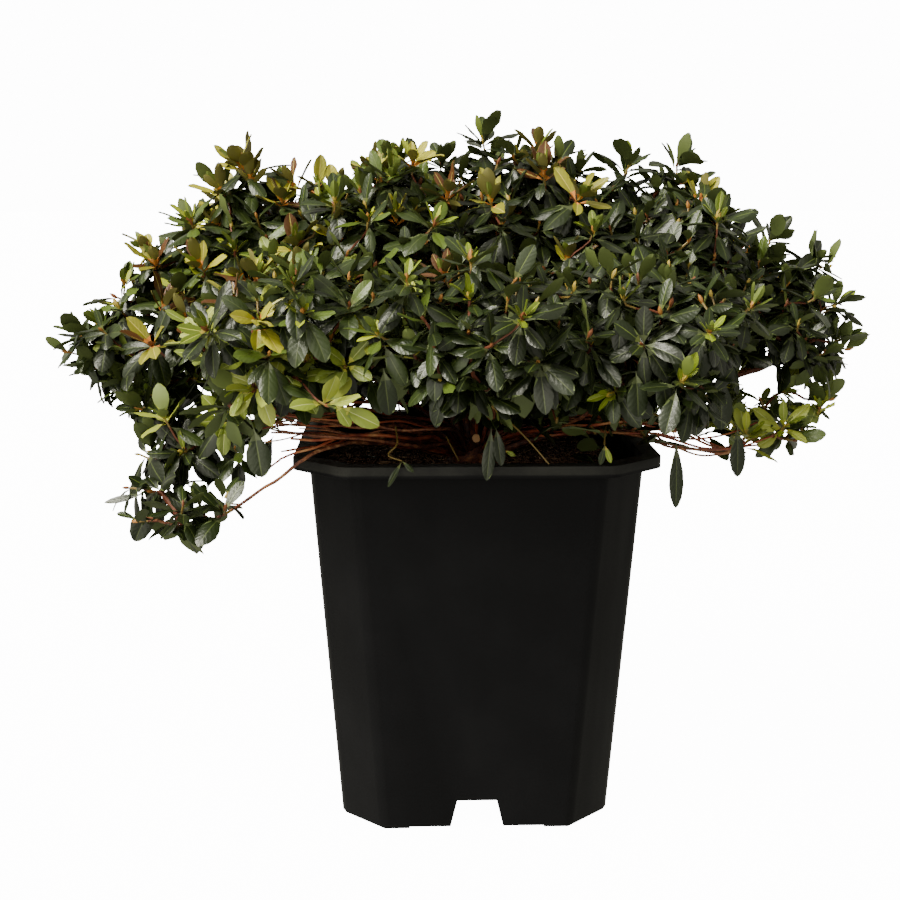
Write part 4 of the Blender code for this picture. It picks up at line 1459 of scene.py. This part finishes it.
for kind, made in leaves.items():
    finish = leaf_finish(kind)
    for part, start in enumerate(range(0, len(made), LEAVES_PER_PIECE)):
        batch = made[start : start + LEAVES_PER_PIECE]
        columns = {key: np.array([leaf[key] for leaf in batch]) for key in batch[0]}
        shifts = np.arange(len(batch))[:, None, None] * len(leaf_t)
        tints = columns["tint"][:, None]
        both = (quad_parts, end_parts)
        slots = [np.where(parts == BLADE_PART, tints, parts).ravel() for parts in both]
        piece = joined_mesh(
            f"{kind}_leaves_{part + 1}",
            leaf_corners(columns).reshape(-1, 3),
            [(leaf_quads + shifts).reshape(-1, 4), (leaf_ends + shifts).reshape(-1, 3)],
            slots,
            finish,
            chart=np.tile(leaf_chart, (len(batch), 1)),
        )
        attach(piece, "root")
        if kind == "old" and part == 0:
            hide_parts(*masses)


# Buds: a pointed bud of overlapping scales, gold, orange or red-brown, closes each outer shoot
# in the middle of its whorl and holds next spring's growth.

BUD_STATIONS = (-0.0012, 0.0, 0.0014, 0.0028, 0.0042)
BUD_RADII = (0.0005, 0.0009, 0.0012, 0.0009, 0.0001)

bud_bundle = Bundle(6)
for target in targets:
    if target["sort"] == "inner":
        continue
    size = chance.uniform(0.8, 1.2) * (1.1 if target["sort"] in ("fresh", "bronze") else 0.8)
    along = np.array(BUD_STATIONS)[:, None] * size
    radii = np.array(BUD_RADII) * size
    bud_bundle.add(target["place"] + along * target["way"], radii, int(chance.integers(3)))
gold_bud, _ = surface("gold_bud_scales", Roughness=0.55, Base_Color=linear("#9c8636"))
orange_bud, _ = surface("orange_bud_scales", Roughness=0.55, Base_Color=linear("#96642c"))
red_bud, _ = surface("red_bud_scales", Roughness=0.6, Base_Color=linear("#6c3c1e"))
buds = bud_bundle.make("buds", [gold_bud, orange_bud, red_bud])
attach(buds, "root")


# Studio: a plain pale floor, lit from within like a light table, a soft light high on the
# left, a weaker and broader one low in front, and a dim room all round.

FLOOR_SPREAD = 40.0
PALE = 14.0
ROOM_GLOW = 0.70
LAMP_COLOUR = (1.0, 0.97, 0.82)

bpy.ops.object.select_all(action="DESELECT")
bpy.ops.mesh.primitive_plane_add(size=FLOOR_SPREAD, location=(0, 0, 0))
floor = bpy.context.object
floor.name = "studio_floor"
floor_paint, _ = surface(
    "floor_paint",
    Base_Color=linear("#808080"),
    Roughness=1.0,
    Specular_IOR_Level=0.0,
    Emission_Color=linear("#ffffff"),
    Emission_Strength=PALE,
)
floor.data.materials.append(floor_paint)
floor.visible_diffuse = False
floor.visible_glossy = False


def soft_sun(name, strength, spread, azimuth, elevation):
    """A broad, even light from azimuth (0 in front, 90 on the right) and elevation."""
    lamp_data = bpy.data.lights.new(name, "SUN")
    lamp_data.energy = strength
    lamp_data.color = LAMP_COLOUR
    lamp_data.angle = math.radians(spread)
    lamp = bpy.data.objects.new(name, lamp_data)
    turn, lift = math.radians(azimuth), math.radians(elevation)
    source = Vector(
        (math.sin(turn) * math.cos(lift), -math.cos(turn) * math.cos(lift), math.sin(lift))
    )
    lamp.rotation_euler = source.to_track_quat("Z", "Y").to_euler()
    bpy.context.scene.collection.objects.link(lamp)


soft_sun("soft_box_above", 8.6, 28, -55, 49)
soft_sun("soft_box_front", 2.2, 76, -28, 12)

room = bpy.data.worlds.new("studio_room")
room.use_nodes = True
bpy.context.scene.world = room
backdrop = room.node_tree.nodes["Background"]
backdrop.inputs["Strength"].default_value = PALE
backdrop.inputs["Color"].default_value = linear("#ffffff")
dim = add(room, "ShaderNodeBackground", Strength=ROOM_GLOW, Color=(*LAMP_COLOUR, 1.0))
seen = add(room, "ShaderNodeLightPath").outputs["Is Camera Ray"]
both = {"Fac": seen, 1: dim.outputs["Background"], 2: backdrop.outputs["Background"]}
choose = add(room, "ShaderNodeMixShader", both)
surroundings = room.node_tree.nodes["World Output"].inputs["Surface"]
room.node_tree.links.new(choose.outputs["Shader"], surroundings)
